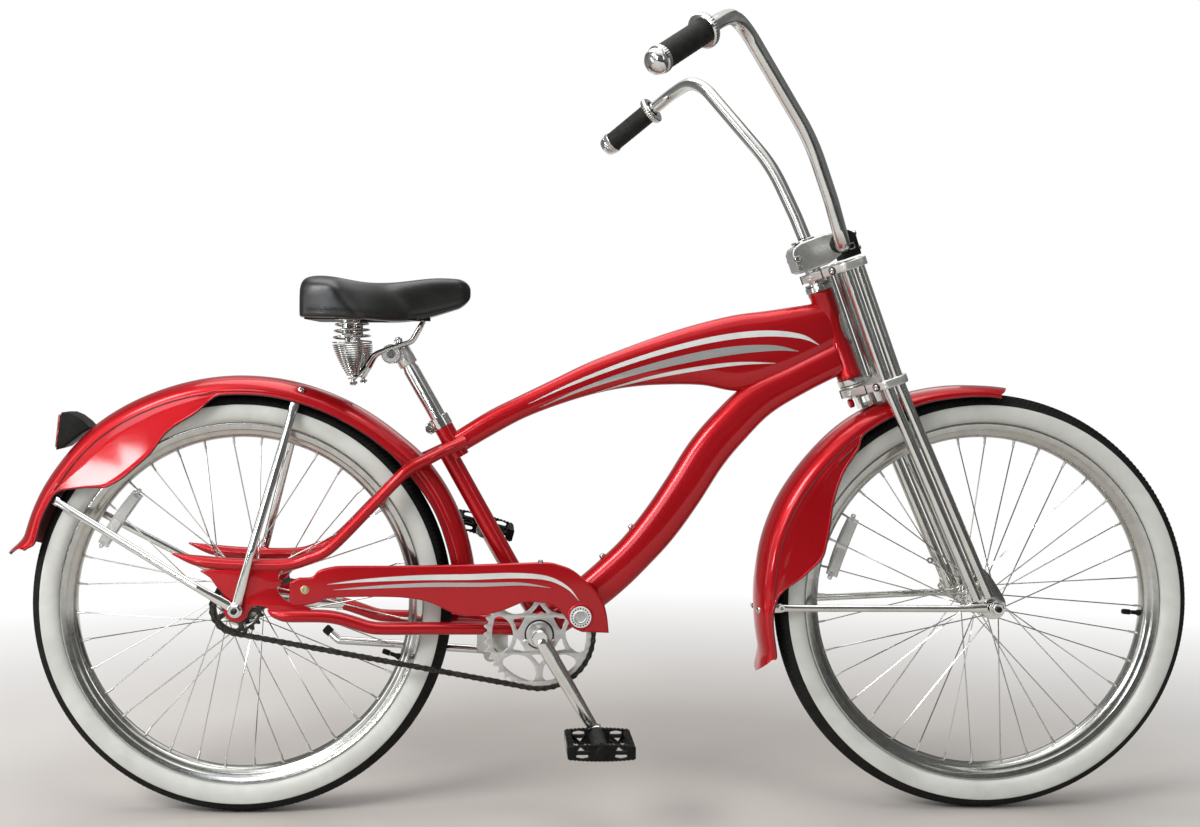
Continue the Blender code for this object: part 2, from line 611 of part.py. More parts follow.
def make_wheel(prefix, axle, half_flange, flange_radii, barrel_radius, half_shell, bore, first_turn):
    """Tyre, rim, and a hub shell with its laced spokes, all turned about the axle."""
    half_rim = RIM_WIDTH / 2
    bead = RIM_FLANGE_RADIUS + GAP * 2
    turn = Matrix.Rotation(math.pi / WHEEL_STEPS, 4, "Y")
    outer = [(bead, 0.0165), (0.2995, 0.0265), (0.3170, 0.0268), (TYRE_RADIUS, 0.0110)]
    profile = outer + [(r, -h) for r, h in reversed(outer)] + [(bead, -0.0125), (bead, 0.0125)]
    tyre = turned(f"{prefix}_tyre", profile, axle, LEFT, TYRE, WHEEL_STEPS)
    tyre.matrix_world = Matrix.Translation(axle) @ turn @ frame_at(Vector(), LEFT)

    outer = [(RIM_FLANGE_RADIUS, half_rim), (0.2700, 0.0160), (RIM_INNER_RADIUS, 0.0060)]
    profile = ([(r, -h) for r, h in outer] + [(r, h) for r, h in reversed(outer)]
               + [(RIM_FLANGE_RADIUS, 0.0150), (0.2680, 0.0), (RIM_FLANGE_RADIUS, -0.0150)])
    rim = turned(f"{prefix}_rim", profile, axle, LEFT, CHROME, WHEEL_STEPS)
    rim.matrix_world = Matrix.Translation(axle) @ turn @ frame_at(Vector(), LEFT)

    left, right = half_flange
    left_radius, right_radius = flange_radii
    thin = 0.0026
    shell = [(barrel_radius * 0.72, half_shell), (barrel_radius * 0.80, left + 0.0045),
             (left_radius, left + thin), (left_radius, left - thin), (barrel_radius, left - 0.007),
             (barrel_radius, right + 0.007), (right_radius, right + thin),
             (right_radius, right - thin), (barrel_radius * 0.80, right - 0.0045),
             (barrel_radius * 0.72, -half_shell), (bore, -half_shell), (bore, half_shell)]
    hub = turned(f"{prefix}_hub_and_spokes", shell, axle, LEFT, CHROME, 12)
    spokes = spoke_cones(axle, ((right, right_radius), (left, left_radius)), first_turn)
    fuse(hub, from_bmesh(f"{prefix}_spokes", spokes, CHROME))


def make_wheels():
    front_turn, rear_turn = math.radians(37.9), math.radians(23.7)
    make_wheel("front", FRONT_AXLE, (0.034, -0.034), (0.022, 0.022), 0.0140, 0.0480, 0.0062, front_turn)
    make_wheel("rear", REAR_AXLE, (0.036, -0.027), (0.033, 0.033), 0.0240, 0.0412, 0.0064, rear_turn)
    end = AXLE_NUT_Y + 0.011
    for name, axle, cone_in, cone_out in (("front_axle", FRONT_AXLE, 0.0486, 0.0560),
                                          ("rear_axle", REAR_AXLE, 0.0505, 0.0548)):
        half = [(0.0, end), (AXLE_RADIUS, end), (AXLE_RADIUS, cone_out), (0.0088, cone_out),
                (0.0088, cone_in), (AXLE_RADIUS, cone_in)]
        other = [(radius, -height) for radius, height in reversed(half)]
        rod = turned(name, half + other, axle, LEFT, CHROME, 8)
        for sign in (-1, 1):
            fuse(rod, bar(f"{name}_nut_{sign}", axle + LEFT * sign * AXLE_NUT_Y,
                          axle + LEFT * sign * (AXLE_NUT_Y + 0.0075), 0.0088, CHROME, 6))
    side_plate("coaster_brake_arm", [(-0.013, 0.322), (-0.004, 0.318), (0.150, 0.312), (0.156, 0.318),
                                     (0.152, 0.325), (0.012, 0.342), (0.0, 0.346), (-0.012, 0.342)],
               0.0430, 0.0024, CHROME, [circle((0.0, AXLE_Z), 0.0056, 10)])


# Drive
def pitch_radius(teeth):
    return PITCH / (2 * math.sin(math.pi / teeth))


def toothed(teeth):
    """A sprocket's outline, three points a tooth, about the origin."""
    middle = pitch_radius(teeth)
    outline = []
    for k in range(teeth):
        turn = 2 * math.pi * k / teeth
        for share, radius in ((-0.10, middle + 0.0020), (0.10, middle + 0.0020), (0.50, middle - 0.0034)):
            angle = turn + share * 2 * math.pi / teeth
            outline.append((radius * math.cos(angle), radius * math.sin(angle)))
    return outline


LENS_RIM_RADIUS = 0.0738
LENS_INNER = [(0.0625, 0.0286), (0.0561, 0.0262), (0.0465, 0.0173), (0.0410, 0.0)]
SMALL_WINDOW = [(0.0465, 0.0), (0.0400, 0.0056), (0.0330, 0.0115), (0.0318, 0.0)]


def chainring_windows():
    """Six lens-shaped openings under the rim, and a small three-sided one between each two of them."""
    rim = [(LENS_RIM_RADIUS * math.cos(math.radians(a)), LENS_RIM_RADIUS * math.sin(math.radians(a)))
           for a in (-20, -7, 7, 20)]
    lens = rim + LENS_INNER + [(x, -y) for x, y in LENS_INNER[-2::-1]]
    small = SMALL_WINDOW + [(x, -y) for x, y in SMALL_WINDOW[-2:0:-1]]
    windows = []
    for k in range(12):
        shape = lens if k % 2 == 0 else small
        turn = Matrix.Rotation(math.radians(30 * k), 2)
        windows.append([tuple(turn @ Vector(point)) for point in shape])
    return windows


def chain_loop():
    """The pitch line round sprocket and chainring, as places in the side view with outward directions."""
    small, large = pitch_radius(SPROCKET_TEETH), pitch_radius(CHAINRING_TEETH)
    rear, front = Vector((0.0, AXLE_Z)), Vector(BRACKET)
    line = front - rear
    heading = math.atan2(line.y, line.x)
    spread = math.acos((large - small) / line.length)
    upper_turn = heading + math.pi - spread
    lower_turn = heading + math.pi + spread
    loop = []
    for centre, radius, first, last, steps in ((front, large, lower_turn - 2 * math.pi, upper_turn, 15),
                                               (rear, small, upper_turn, lower_turn, 8)):
        for k in range(steps + 1):
            turn = first + (last - first) * k / steps
            out = Vector((math.cos(turn), math.sin(turn)))
            loop.append((centre + out * radius, out))
    return loop


def make_chain():
    """One endless band, open on its inner side where the teeth run."""
    section = [(-0.0042, 0.0040), (0.0043, 0.0040), (0.0043, -0.0040), (-0.0042, -0.0040),
               (-0.0042, -0.0022), (0.0034, -0.0022), (0.0034, 0.0022), (-0.0042, 0.0022)]
    form = bmesh.new()
    rings = []
    for place, out in chain_loop():
        rings.append([form.verts.new(at(place.x + out.x * rise, CHAIN_Y + across, place.y + out.y * rise))
                      for rise, across in section])
    for ring, following in zip(rings, rings[1:] + rings[:1]):
        for k in range(len(section)):
            after = (k + 1) % len(section)
            form.faces.new((ring[k], ring[after], following[after], following[k]))
    from_bmesh("chain", form, DARK_STEEL)


def make_drive():
    disc = Matrix(((1, 0, 0, 0), (0, 0, -1, CHAIN_Y), (0, 1, 0, 0), (0, 0, 0, 1)))
    disc.translation = Vector((BRACKET_AXIS.x, CHAIN_Y, BRACKET_AXIS.z))
    holes = [*chainring_windows(), circle((0, 0), 0.0114, 12)]
    plate("chainring", toothed(CHAINRING_TEETH), 0.0030, CHROME, disc, holes)
    disc = disc.copy()
    disc.translation = Vector((REAR_AXLE.x, CHAIN_Y, REAR_AXLE.z))
    holes = [circle((0, 0), 0.0064, 12)]
    plate("rear_sprocket", toothed(SPROCKET_TEETH), 0.0030, DARK_STEEL, disc, holes)
    make_chain()

    along = Vector((math.sin(CRANK_ANGLE), 0.0, -math.cos(CRANK_ANGLE)))
    arm, eye_out, arm_out = along * CRANK_LENGTH, LEFT * PEDAL_EYE_Y, LEFT * CRANK_ARM_Y
    path = rounded([BRACKET_AXIS + arm - eye_out, BRACKET_AXIS - arm_out,
                    BRACKET_AXIS + arm_out, BRACKET_AXIS - arm + eye_out], [(0.016, 3)] * 2)
    radii = [0.0085] + [CRANK_RADIUS] * (len(path) - 2) + [0.0085]
    crank = tube("crank", path, CRANK_RADIUS, CHROME, 10, radii)
    for side, sign in (("right", -1), ("left", 1)):
        eye = BRACKET_AXIS - along * (sign * CRANK_LENGTH) + LEFT * (sign * PEDAL_EYE_Y)
        fuse(crank, bar(f"pedal_eye_{side}", eye - LEFT * 0.0085, eye + LEFT * 0.0085, 0.0135, CHROME, 12))
        spindle_end = eye + LEFT * (sign * SPINDLE_LENGTH)
        fuse(crank, bar(f"pedal_spindle_{side}", eye, spindle_end, 0.0058, CHROME, 8))
        tip = LEFT_PEDAL_TIP if side == "left" else 0.0
        make_pedal(f"pedal_{side}", eye + LEFT * (sign * (PEDAL_Y - PEDAL_EYE_Y)), tip)

    turned("crank_bearing_ring", [(0.019, 0.0055), (0.019, -0.0055), (0.0112, -0.0055), (0.0112, 0.0055)],
           BRACKET_AXIS - LEFT * 0.0402, LEFT, CHROME, 14)


def make_pedal(name, centre, tip):
    """A platform pedal: two end plates and two treads round a barrel, its front end tipped down."""
    forward = Vector((math.cos(tip), 0.0, -math.sin(tip)))
    upward = LEFT.cross(forward) * -1
    body = block(name, (0.100, 0.088, 0.026), centre, BLACK, upward, forward, 0.005)
    step_size = (0.045, 0.066, 0.020)
    for number, reach in enumerate((-0.0285, 0.0285)):
        middle = centre + forward * reach
        cut(body, block(f"{name}_window_{number}", (0.025, 0.062, 0.05), middle, BLACK, upward, forward),
            *[block(f"{name}_step_{number}_{sign}", step_size, middle + upward * (0.020 * sign), BLACK,
                    upward, forward) for sign in (-1, 1)])
    cut(body, bar(f"{name}_bore", centre - LEFT * 0.06, centre + LEFT * 0.06, 0.0065, BLACK, 10))


GUARD_TOP = [(0.097, 0.380), (0.116, 0.381), (0.127, 0.391), (0.147, 0.3965), (0.170, 0.398),
             (0.253, 0.398), (0.315, 0.399), (0.376, 0.400), (0.438, 0.402), (0.480, 0.403),
             (0.500, 0.399), (0.520, 0.391), (0.540, 0.375), (0.557, 0.358), (0.568, 0.341),
             (0.574, 0.320), (0.577, 0.293)]
GUARD_BOTTOM = [(0.535, 0.2945), (0.520, 0.302), (0.509, 0.318), (0.497, 0.332), (0.478, 0.3395),
                (0.447, 0.3415), (0.432, 0.3365), (0.410, 0.3275), (0.388, 0.3225), (0.361, 0.3200),
                (0.338, 0.3230), (0.315, 0.3335), (0.292, 0.3430), (0.253, 0.3490), (0.190, 0.3500),
                (0.142, 0.3480), (0.120, 0.3400), (0.100, 0.3370), (0.083, 0.3400), (0.082, 0.3740)]


def inset(outline, by):
    """The outline moved inwards, for outlines that run clockwise."""
    made = []
    count = len(outline)
    for k in range(count):
        before, here, after = (Vector(outline[(k + step) % count]) for step in (-1, 0, 1))
        first, second = (here - before).normalized(), (after - here).normalized()
        normal = Vector((first.y + second.y, -first.x - second.x))
        made.append(tuple(here + normal / max(normal.dot(Vector((first.y, -first.x))), 0.3) * by))
    return made


def make_guard():
    """The chain guard: a pressed tray with its rim turned in, and a round boss at its front."""
    outline = GUARD_TOP + GUARD_BOTTOM
    guard = side_plate("chain_guard", outline, -0.0585, 0.0060, PAINT)
    cut(guard, side_plate("guard_inside", inset(outline, 0.0022), -0.0567, 0.0060, PAINT))
    dome = [(0.0, 0.0036), (0.011, 0.0036), (0.0135, 0.0024), (0.0135, -0.0022), (0.0, -0.0022)]
    boss = turned("guard_boss", dome, at(0.5325, -0.0605, 0.3185), -LEFT, PAINT, 14)
    screw = bar("guard_screw", at(0.106, -0.0600, 0.3620), at(0.106, -0.0640, 0.3620), 0.0050, PAINT, 8)
    fuse(guard, boss, screw)


# Steering
def steer_plate(name, outline, s, thickness, colour, holes=()):
    """A plate square to the steering axis; its outline holds (forward, left) places."""
    origin = steer(s, 0.0)
    forward = (steer(0.0, 1.0) - steer(0.0, 0.0)).normalized()
    matrix = Matrix((forward, LEFT, -DOWN_STEER)).transposed().to_4x4()
    matrix.translation = origin
    return plate(name, outline, thickness, colour, matrix, holes)


def fork_tube_lines(sign):
    """Centre lines of the rear and front tube of a leg, from the upper crown to the wheel end."""
    lines = []
    for forward, end_s in ((-FORK_TUBE_SPACING / 2, 0.462), (FORK_TUBE_SPACING / 2, 0.464)):
        kink_s = LOWER_CROWN_S + 0.012
        f = FORK_OFFSET + forward
        y = sign * FORK_HALF_WIDTH
        lines.append([steer(UPPER_CROWN_S - 0.010, f, y), steer(kink_s, f, y),
                      steer(end_s, f + (end_s - kink_s) * math.tan(FORK_KINK_ANGLE), y)])
    return lines


def make_crown(name, s):
    legs = [(FORK_OFFSET + side * FORK_TUBE_SPACING / 2, sign * FORK_HALF_WIDTH)
            for side in (-1, 1) for sign in (-1, 1)]
    around = circle((0.0, 0.0), 0.0225, 10)
    for leg in legs:
        around += circle(leg, 0.0145, 8)
    crown = steer_plate(name, hull(around), s, CROWN_THICKNESS, ALLOY)
    above, below = s - 0.03, s + 0.03
    steerer_bore = clear(STEERER_RADIUS, 14)
    holes = [bar(f"{name}_steerer_hole", steer(above, 0.0), steer(below, 0.0), steerer_bore, ALLOY, 14)]
    for number, (forward, y) in enumerate(legs):
        holes.append(bar(f"{name}_leg_hole_{number}", steer(above, forward, y), steer(below, forward, y),
                         clear(FORK_TUBE_RADIUS, 8), ALLOY, 8))
    cut(crown, *holes)


def make_steering():
    for name, s, sign in (("headset_upper_cup", -HEAD_TOP, -1), ("headset_lower_cup", HEAD_BOTTOM, 1)):
        turned(name, [(0.0185, 0.0135), (0.0212, 0.0095), (0.0212, GAP), (0.0138, GAP), (0.0138, 0.0135)],
               steer(s, 0.0), DOWN_STEER * sign, ALLOY, 16)
    turned("steerer_tube", [(STEERER_RADIUS, 0.258), (STEERER_RADIUS, 0.0), (0.0108, 0.0), (0.0108, 0.258)],
           steer(-0.151, 0.0), DOWN_STEER, CHROME, 16)
    make_crown("upper_crown", UPPER_CROWN_S)
    make_crown("lower_crown", LOWER_CROWN_S)

    axle_x = WHEELBASE
    tab = [(-0.043, 0.352), (-0.026, 0.391), (-0.010, 0.386), (0.014, 0.350), (0.0185, 0.336),
           (0.016, 0.322), (0.006, 0.314), (-0.008, 0.314), (-0.019, 0.322), (-0.032, 0.334)]
    tab = [(axle_x + x, z) for x, z in tab]
    tab_hole = [at(axle_x, -0.08, AXLE_Z), at(axle_x, 0.08, AXLE_Z)]
    for side, sign in (("right", -1), ("left", 1)):
        rear_line, front_line = fork_tube_lines(sign)
        leg = tube(f"fork_leg_{side}", rounded(rear_line, [(0.20, 1)]), FORK_TUBE_RADIUS, CHROME, 8)
        twin = tube(f"fork_twin_{side}", rounded(front_line, [(0.20, 1)]), FORK_TUBE_RADIUS, CHROME, 8)
        drop = side_plate(f"fork_tab_{side}", tab, sign * FORK_HALF_WIDTH, 0.0052, CHROME)
        fuse(leg, drop, twin)
        cut(leg, bar(f"fork_tab_hole_{side}", *tab_hole, 0.0055, CHROME, 12))

    bracket = block("front_fender_bracket", (0.030, 0.024, 0.0040), steer(0.1085, 0.026), ALLOY, DOWN_STEER)
    fuse(bracket, block("bracket_drop", (0.030, 0.0045, 0.034), steer(0.1225, 0.0355), ALLOY, DOWN_STEER))
    cut(bracket, make_fender_gap())

    body = [(-0.029, -0.150), (-0.029, -0.114), (-0.018, -0.1095), (0.020, -0.1095), (0.034, -0.1130),
            (0.0475, -0.1170), (0.0475, -0.1530), (0.030, -0.1570), (-0.016, -0.1560)]
    forward = (steer(0.0, 1.0) - steer(0.0, 0.0)).normalized()
    matrix = Matrix((forward, DOWN_STEER, LEFT)).transposed().to_4x4()
    matrix.translation = steer(0.0, 0.0)
    stem = plate("stem", body, 0.046, ALLOY, matrix)
    cap = plate("stem_faceplate", [(0.0482, -0.1080), (0.0482, -0.1530), (0.0600, -0.1560), (0.0700, -0.1500),
                                   (0.0785, -0.1425), (0.0770, -0.1080)], 0.046, BLACK, matrix)
    clamp = [bar(f"bar_seat_{number}", steer(STEM_S, STEM_FORWARD, -0.04), steer(STEM_S, STEM_FORWARD, 0.04),
                 clear(BAR_RADIUS, 12), ALLOY, 12) for number in (0, 1)]
    stem_bore = bar("stem_bore", steer(-0.17, 0.0), steer(-0.10, 0.0), clear(STEERER_RADIUS, 14), ALLOY, 14)
    cut(stem, stem_bore, clamp[0])
    cut(cap, clamp[1])
    make_handlebar()


def make_fender_gap():
    """The front fender's thickened outer surface, to cut what rests on it."""
    turn = [(0.3606, 0.04), (0.3606, -0.04), (0.30, -0.04), (0.30, 0.04)]
    return turned("front_crown_gap", turn, FRONT_AXLE, LEFT, PAINT, 64)


BAR_HALF = [(0.9450, 0.0, 0.9031), (0.9450, 0.0360, 0.9031), (0.9322, 0.0953, 0.8908),
            (0.9085, 0.1107, 0.9593), (0.8723, 0.1303, 1.0481), (0.7530, 0.1927, 1.2115),
            (0.7213, 0.2567, 1.1992), (0.6196, 0.3296, 1.1217)]
BAR_BENDS = [(0.030, 1), (0.032, 3), (0.30, 1), (0.30, 1), (0.040, 3), (0.060, 2)]
GRIP_LENGTH = 0.106
GRIP_CAP = 0.016
GRIP_COLLAR = 0.006
COLLAR_RADIUS = 0.0235


def make_handlebar():
    half = rounded([at(*point) for point in BAR_HALF], BAR_BENDS)
    path = [*reversed(mirrored(half[1:])), *half]
    tube("handlebar", path, BAR_RADIUS, CHROME, 8)
    end, before = at(*BAR_HALF[-1]), at(*BAR_HALF[-2])
    out = (end - before).normalized()
    bore = clear(BAR_RADIUS, 10)
    depth = GRIP_LENGTH - 0.006
    top = GRIP_LENGTH + GRIP_CAP
    profile = [(0.0, top), (0.0120, top - 0.003), (CAP_RADIUS, top - 0.011), (CAP_RADIUS, GRIP_LENGTH),
               (GRIP_RADIUS, GRIP_LENGTH - 0.001), (GRIP_RADIUS, GRIP_COLLAR + 0.001),
               (COLLAR_RADIUS - 0.002, GRIP_COLLAR), (COLLAR_RADIUS, 0.003), (COLLAR_RADIUS - 0.002, 0.0),
               (bore, 0.0), (bore, depth), (0.0, depth)]
    start = end - out * (depth - GAP * 3)
    for side, sign in (("left", 1), ("right", -1)):
        turned(f"grip_{side}", profile, Vector((start.x, sign * start.y, start.z)),
               Vector((out.x, sign * out.y, out.z)), BLACK, 10)


# Saddle
SADDLE = [(0.1020, 0.094, 0.8370, 0.7830), (0.1085, 0.107, 0.8465, 0.7815), (0.1350, 0.119, 0.8485, 0.7810),
          (0.1720, 0.112, 0.8430, 0.7805), (0.2060, 0.080, 0.8390, 0.7790), (0.2400, 0.050, 0.8395, 0.7770),
          (0.2760, 0.038, 0.8440, 0.7795), (0.3110, 0.033, 0.8475, 0.7890), (0.3430, 0.027, 0.8460, 0.7985),
          (0.3610, 0.013, 0.8340, 0.8120)]
SADDLE_SECTION = [(0.0, 0.0), (0.90, 0.0), (1.0, 0.16), (0.99, 0.58), (0.86, 0.90), (0.45, 1.0), (0.0, 0.985)]
BASE_LOW = 0.7800
BASE_HIGH = 0.7830
BASE_SHARE = 0.80


def saddle_ring(x, half, top, bottom):
    """Half a dozen places up each side, with the crown over them and the underside flat."""
    height = top - bottom
    ring = []
    for share, rise in SADDLE_SECTION:
        ring.append((x, half * share, bottom + height * rise))
    other = [(px, -py, pz) for px, py, pz in ring[-2:0:-1]]
    return [at(*point) for point in ring + other]


def spring_path(low, high, low_radius, high_radius, curls, ease, steps=8):
    """A coil that climbs evenly from low to high while its radius changes, ease 2 swelling it early."""
    path = []
    for k in range(curls * steps + 1):
        share = k / (curls * steps)
        turn = 2 * math.pi * k / steps
        radius = high_radius + (low_radius - high_radius) * (1 - share) ** ease
        path.append(low + (high - low) * share + Vector((math.cos(turn), math.sin(turn), 0.0)) * radius)
    return path


def least_gap(path, wire_radius, steps=8):
    """The least gap between a coil's wire and itself, over points more than half a turn apart."""
    least = 1.0
    for number, point in enumerate(path):
        for other in path[number + steps // 2 + 1:]:
            least = min(least, (point - other).length)
    return least - 2 * wire_radius


def make_saddle():
    cushion = loft("saddle_cushion", [saddle_ring(*row) for row in SADDLE], VINYL, 60.0)
    swell = cushion.modifiers.new("smooth", "SUBSURF")
    swell.levels = 1
    swell.render_levels = 1

    make_saddle_base(cushion)

    top = SEAT_POST_TOP
    post = [(POST_TIP_RADIUS, top), (POST_TIP_RADIUS, top - 0.032), (SEAT_POST_RADIUS, top - 0.037),
            (SEAT_POST_RADIUS, -SEAT_POST_INSERT), (0.0098, -SEAT_POST_INSERT), (0.0098, top)]
    turned("seat_post", post, seat(0.0), UP_POST, CHROME, 14)
    pivot = at(SADDLE_PIVOT[0], 0.0, SADDLE_PIVOT[1])
    clamp = bar("saddle_clamp", seat(top - 0.029), seat(top + 0.001), 0.0150, DARK_STEEL, 12)
    fuse(clamp, bar("clamp_barrel", pivot - LEFT * 0.014, pivot + LEFT * 0.014, 0.0120, DARK_STEEL, 12))
    post_bore = clear(POST_TIP_RADIUS, 14)
    cut(clamp, bar("clamp_bore", seat(top - 0.04), seat(top + 0.01), post_bore, DARK_STEEL, 14),
        bar("clamp_bolt_hole", pivot - LEFT * 0.02, pivot + LEFT * 0.02, 0.0043, DARK_STEEL, 10))
    make_saddle_frame(pivot)


def make_saddle_base(cushion):
    """The moulded base in a recess of the cushion, with its nose socket and the two spring sleeves."""
    side = [(x, half * BASE_SHARE) for x, half, _top, _low in SADDLE[1:7]]
    outline = side + [(x, -half) for x, half in reversed(side)]
    flat = Matrix.Translation(Vector((REAR_AXLE_X, 0.0, (BASE_LOW + BASE_HIGH) / 2)))
    base = plate("saddle_base", outline, BASE_HIGH - BASE_LOW, BLACK, flat)
    socket_size = (0.034, 0.030, BASE_HIGH - BASE_LOW)
    middle = at(SADDLE_NOSE_X - 0.006, 0.0, (BASE_LOW + BASE_HIGH) / 2)
    fuse(base, block("nose_socket", socket_size, middle, BLACK, UP, Vector((1, 0, 0))))
    for sign in (-1, 1):
        ring = [(SLEEVE_RADIUS, BASE_LOW + 0.001), (SLEEVE_RADIUS, SLEEVE_LOW), (SLEEVE_BORE, SLEEVE_LOW),
                (SLEEVE_BORE, BASE_LOW + 0.001)]
        fuse(base, turned(f"spring_sleeve_{sign}", ring, at(SPRING_X, sign * SPRING_Y, 0.0), UP, CHROME, 8))

    clear_outline = inset(outline, -2 * GAP)
    recess = Matrix.Translation(Vector((REAR_AXLE_X, 0.0, BASE_HIGH + 2 * GAP - 0.010)))
    cut(cushion, plate("base_recess", clear_outline, 0.020, VINYL, recess),
        block("socket_recess", (socket_size[0] + 4 * GAP, socket_size[1] + 4 * GAP, 0.020),
              Vector((middle.x, 0.0, BASE_HIGH + 2 * GAP - 0.010)), VINYL, UP, Vector((1, 0, 0))))


def make_saddle_frame(pivot):
    """Two rails from the nose through the clamp to the springs, with each spring's rod, nut and seat."""
    rail = [at(SADDLE_NOSE_X - 0.0045, -0.0100, 0.7763), at(0.2815, -0.0200, 0.7640),
            at(0.2740, -0.0225, 0.7480), at(0.2260, -0.0225, 0.7330), at(0.2080, -0.0235, 0.7260),
            at(0.1960, -0.0400, 0.7050), at(*SPRING_FOOT)]
    path = rounded(rail, [(0.010, 1), (0.014, 1), (0.030, 1), (0.020, 1), (0.020, 1)])
    rails = tube("saddle_frame", path, RAIL_RADIUS, CHROME, 6)
    fuse(rails, tube("left_rail", mirrored(path), RAIL_RADIUS, CHROME, 6),
         bar("rail_bolt", pivot - LEFT * 0.026, pivot + LEFT * 0.026, RAIL_RADIUS, CHROME, 8))
    coil_wire, cone_wire = 0.0016, 0.0013
    for side, sign in (("right", -1), ("left", 1)):
        cheek_ends = [pivot + LEFT * sign * y for y in (0.0156, 0.0215)]
        fuse(rails, bar(f"rail_cheek_{sign}", *cheek_ends, 0.0150, CHROME, 10))
        foot = at(SPRING_FOOT[0], -sign * SPRING_FOOT[1], SPRING_FOOT[2])
        head = at(SPRING_X, sign * SPRING_Y, SPRING_SEAT_Z)
        lean = (head - foot).normalized()
        fuse(rails, bar(f"spring_rod_{sign}", foot - lean * 0.004, head, 0.0034, CHROME, 6),
             bar(f"spring_nut_{sign}", foot - lean * 0.0080, foot - lean * 0.0020, 0.0052, CHROME, 6),
             bar(f"spring_seat_{sign}", head - UP * 0.0018, head, 0.0232, CHROME, 10),
             bar(f"spring_guide_{sign}", head - UP * 0.001, head + UP * 0.0210, 0.0042, CHROME, 6))
        cone_low = foot + lean * 0.0090
        cone_high = head - lean * 0.0042
        cone = spring_path(cone_low, cone_high, 0.0066, 0.0226, LOWER_CURLS, 2)
        coil_low = head + UP * (coil_wire + 2 * GAP)
        coil_high = head + UP * (BASE_LOW - SPRING_SEAT_Z - coil_wire - 2 * GAP)
        coil = spring_path(coil_low, coil_high, 0.0214, 0.0180, UPPER_CURLS, 1)
        tube(f"saddle_lower_spring_{side}", cone, cone_wire, CHROME, 6)
        tube(f"saddle_upper_spring_{side}", coil, coil_wire, CHROME, 6)
        print(f"spring gaps {side}: {least_gap(cone, cone_wire):.5f} {least_gap(coil, coil_wire):.5f}")


def make_kickstand():
    pivot = at(*KICKSTAND_PIVOT)
    axis = Vector((-0.10, 1.0, 0.175)).normalized()
    housing = bar("kickstand_bracket", pivot - axis * 0.019, pivot - axis * 0.0075, 0.0150, CHROME, 12)
    fuse(housing, block("kickstand_plate", (0.050, 0.0045, 0.044), at(0.396, 0.0285, 0.2650), CHROME, UP,
                        Vector((1, 0, 0))))
    cut(housing, tube("kick_stay_gap", mirrored(CHAINSTAY_PATH), clear(CHAINSTAY_RADIUS, 8), CHROME, 8))
    leg = tube("kickstand_leg", rounded([pivot + axis * 0.0005, pivot + Vector((-0.020, 0.006, 0.001)),
                                         at(0.144, 0.0600, 0.2560), at(0.122, 0.0660, 0.2740)],
                                        [(0.008, 2), (0.010, 2)]), 0.0065, CHROME, 10)
    fuse(leg, bar("kick_hub", pivot - axis * 0.0070, pivot + axis * 0.0075, 0.0120, CHROME, 12))


def main():
    make_frame()
    make_fenders()
    make_wheels()
    make_drive()
    make_guard()
    make_steering()
    make_saddle()
    make_kickstand()


main()
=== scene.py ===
"""Looks of the chopper bike: fine shapes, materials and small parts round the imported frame.

X points forwards, Y to the rider's left and Z up. Places in the side view are given from the rear axle, as in
the CAD, and at() puts them in the scene. Geometry is written in millimetres, and Shape.make() turns it into
metres. Looks, lamps, floor and the cards round the set are in metres.
"""
import json
import math

import bmesh
import bpy
from mathutils import Matrix, Vector
from mathutils.bvhtree import BVHTree

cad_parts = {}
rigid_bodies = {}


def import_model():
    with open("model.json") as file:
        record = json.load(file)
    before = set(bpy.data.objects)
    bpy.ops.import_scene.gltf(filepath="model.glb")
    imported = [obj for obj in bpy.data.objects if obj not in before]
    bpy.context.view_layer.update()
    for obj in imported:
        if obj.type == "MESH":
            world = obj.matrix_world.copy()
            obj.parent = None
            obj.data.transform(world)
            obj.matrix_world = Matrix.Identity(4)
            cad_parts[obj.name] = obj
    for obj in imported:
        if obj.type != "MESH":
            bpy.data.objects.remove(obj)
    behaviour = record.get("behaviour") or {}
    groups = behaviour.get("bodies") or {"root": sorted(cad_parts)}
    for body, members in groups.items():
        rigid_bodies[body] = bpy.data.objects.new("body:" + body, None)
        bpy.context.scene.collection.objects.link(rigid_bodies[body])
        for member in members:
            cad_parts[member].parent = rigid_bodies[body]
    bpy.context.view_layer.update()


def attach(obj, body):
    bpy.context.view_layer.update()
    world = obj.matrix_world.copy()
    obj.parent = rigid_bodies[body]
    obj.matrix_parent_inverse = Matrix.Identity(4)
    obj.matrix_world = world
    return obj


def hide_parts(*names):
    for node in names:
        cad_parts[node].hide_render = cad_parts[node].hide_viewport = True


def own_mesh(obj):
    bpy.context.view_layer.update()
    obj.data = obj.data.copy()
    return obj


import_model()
MM = 0.001

# Places as in the CAD
REAR_AXLE_X = -571.5
WHEELBASE = 1180
AXLE_Z = 331.99
BRACKET = (469, 289)
CHAIN_Y = -48
PITCH = 12.7
STEER_POINT = (945, 760)
STEER_ANGLE = math.radians(19.4)
SEAT_ANGLE = math.radians(29.2)
SEAT_LUG_TOP = (308.5, 626)
LEFT = Vector((0, 1, 0))
UP = Vector((0, 0, 1))
FORWARD = Vector((1, 0, 0))
SIDES = (("right", -1), ("left", 1))


def at(x, y, z):
    return Vector((REAR_AXLE_X + x, y, z))


def steer(s, f=0, y=0):
    """The place s down the steering axis from its point, f in front of it and y to the left."""
    x = STEER_POINT[0] + s * math.sin(STEER_ANGLE) + f * math.cos(STEER_ANGLE)
    z = STEER_POINT[1] - s * math.cos(STEER_ANGLE) + f * math.sin(STEER_ANGLE)
    return at(x, y, z)


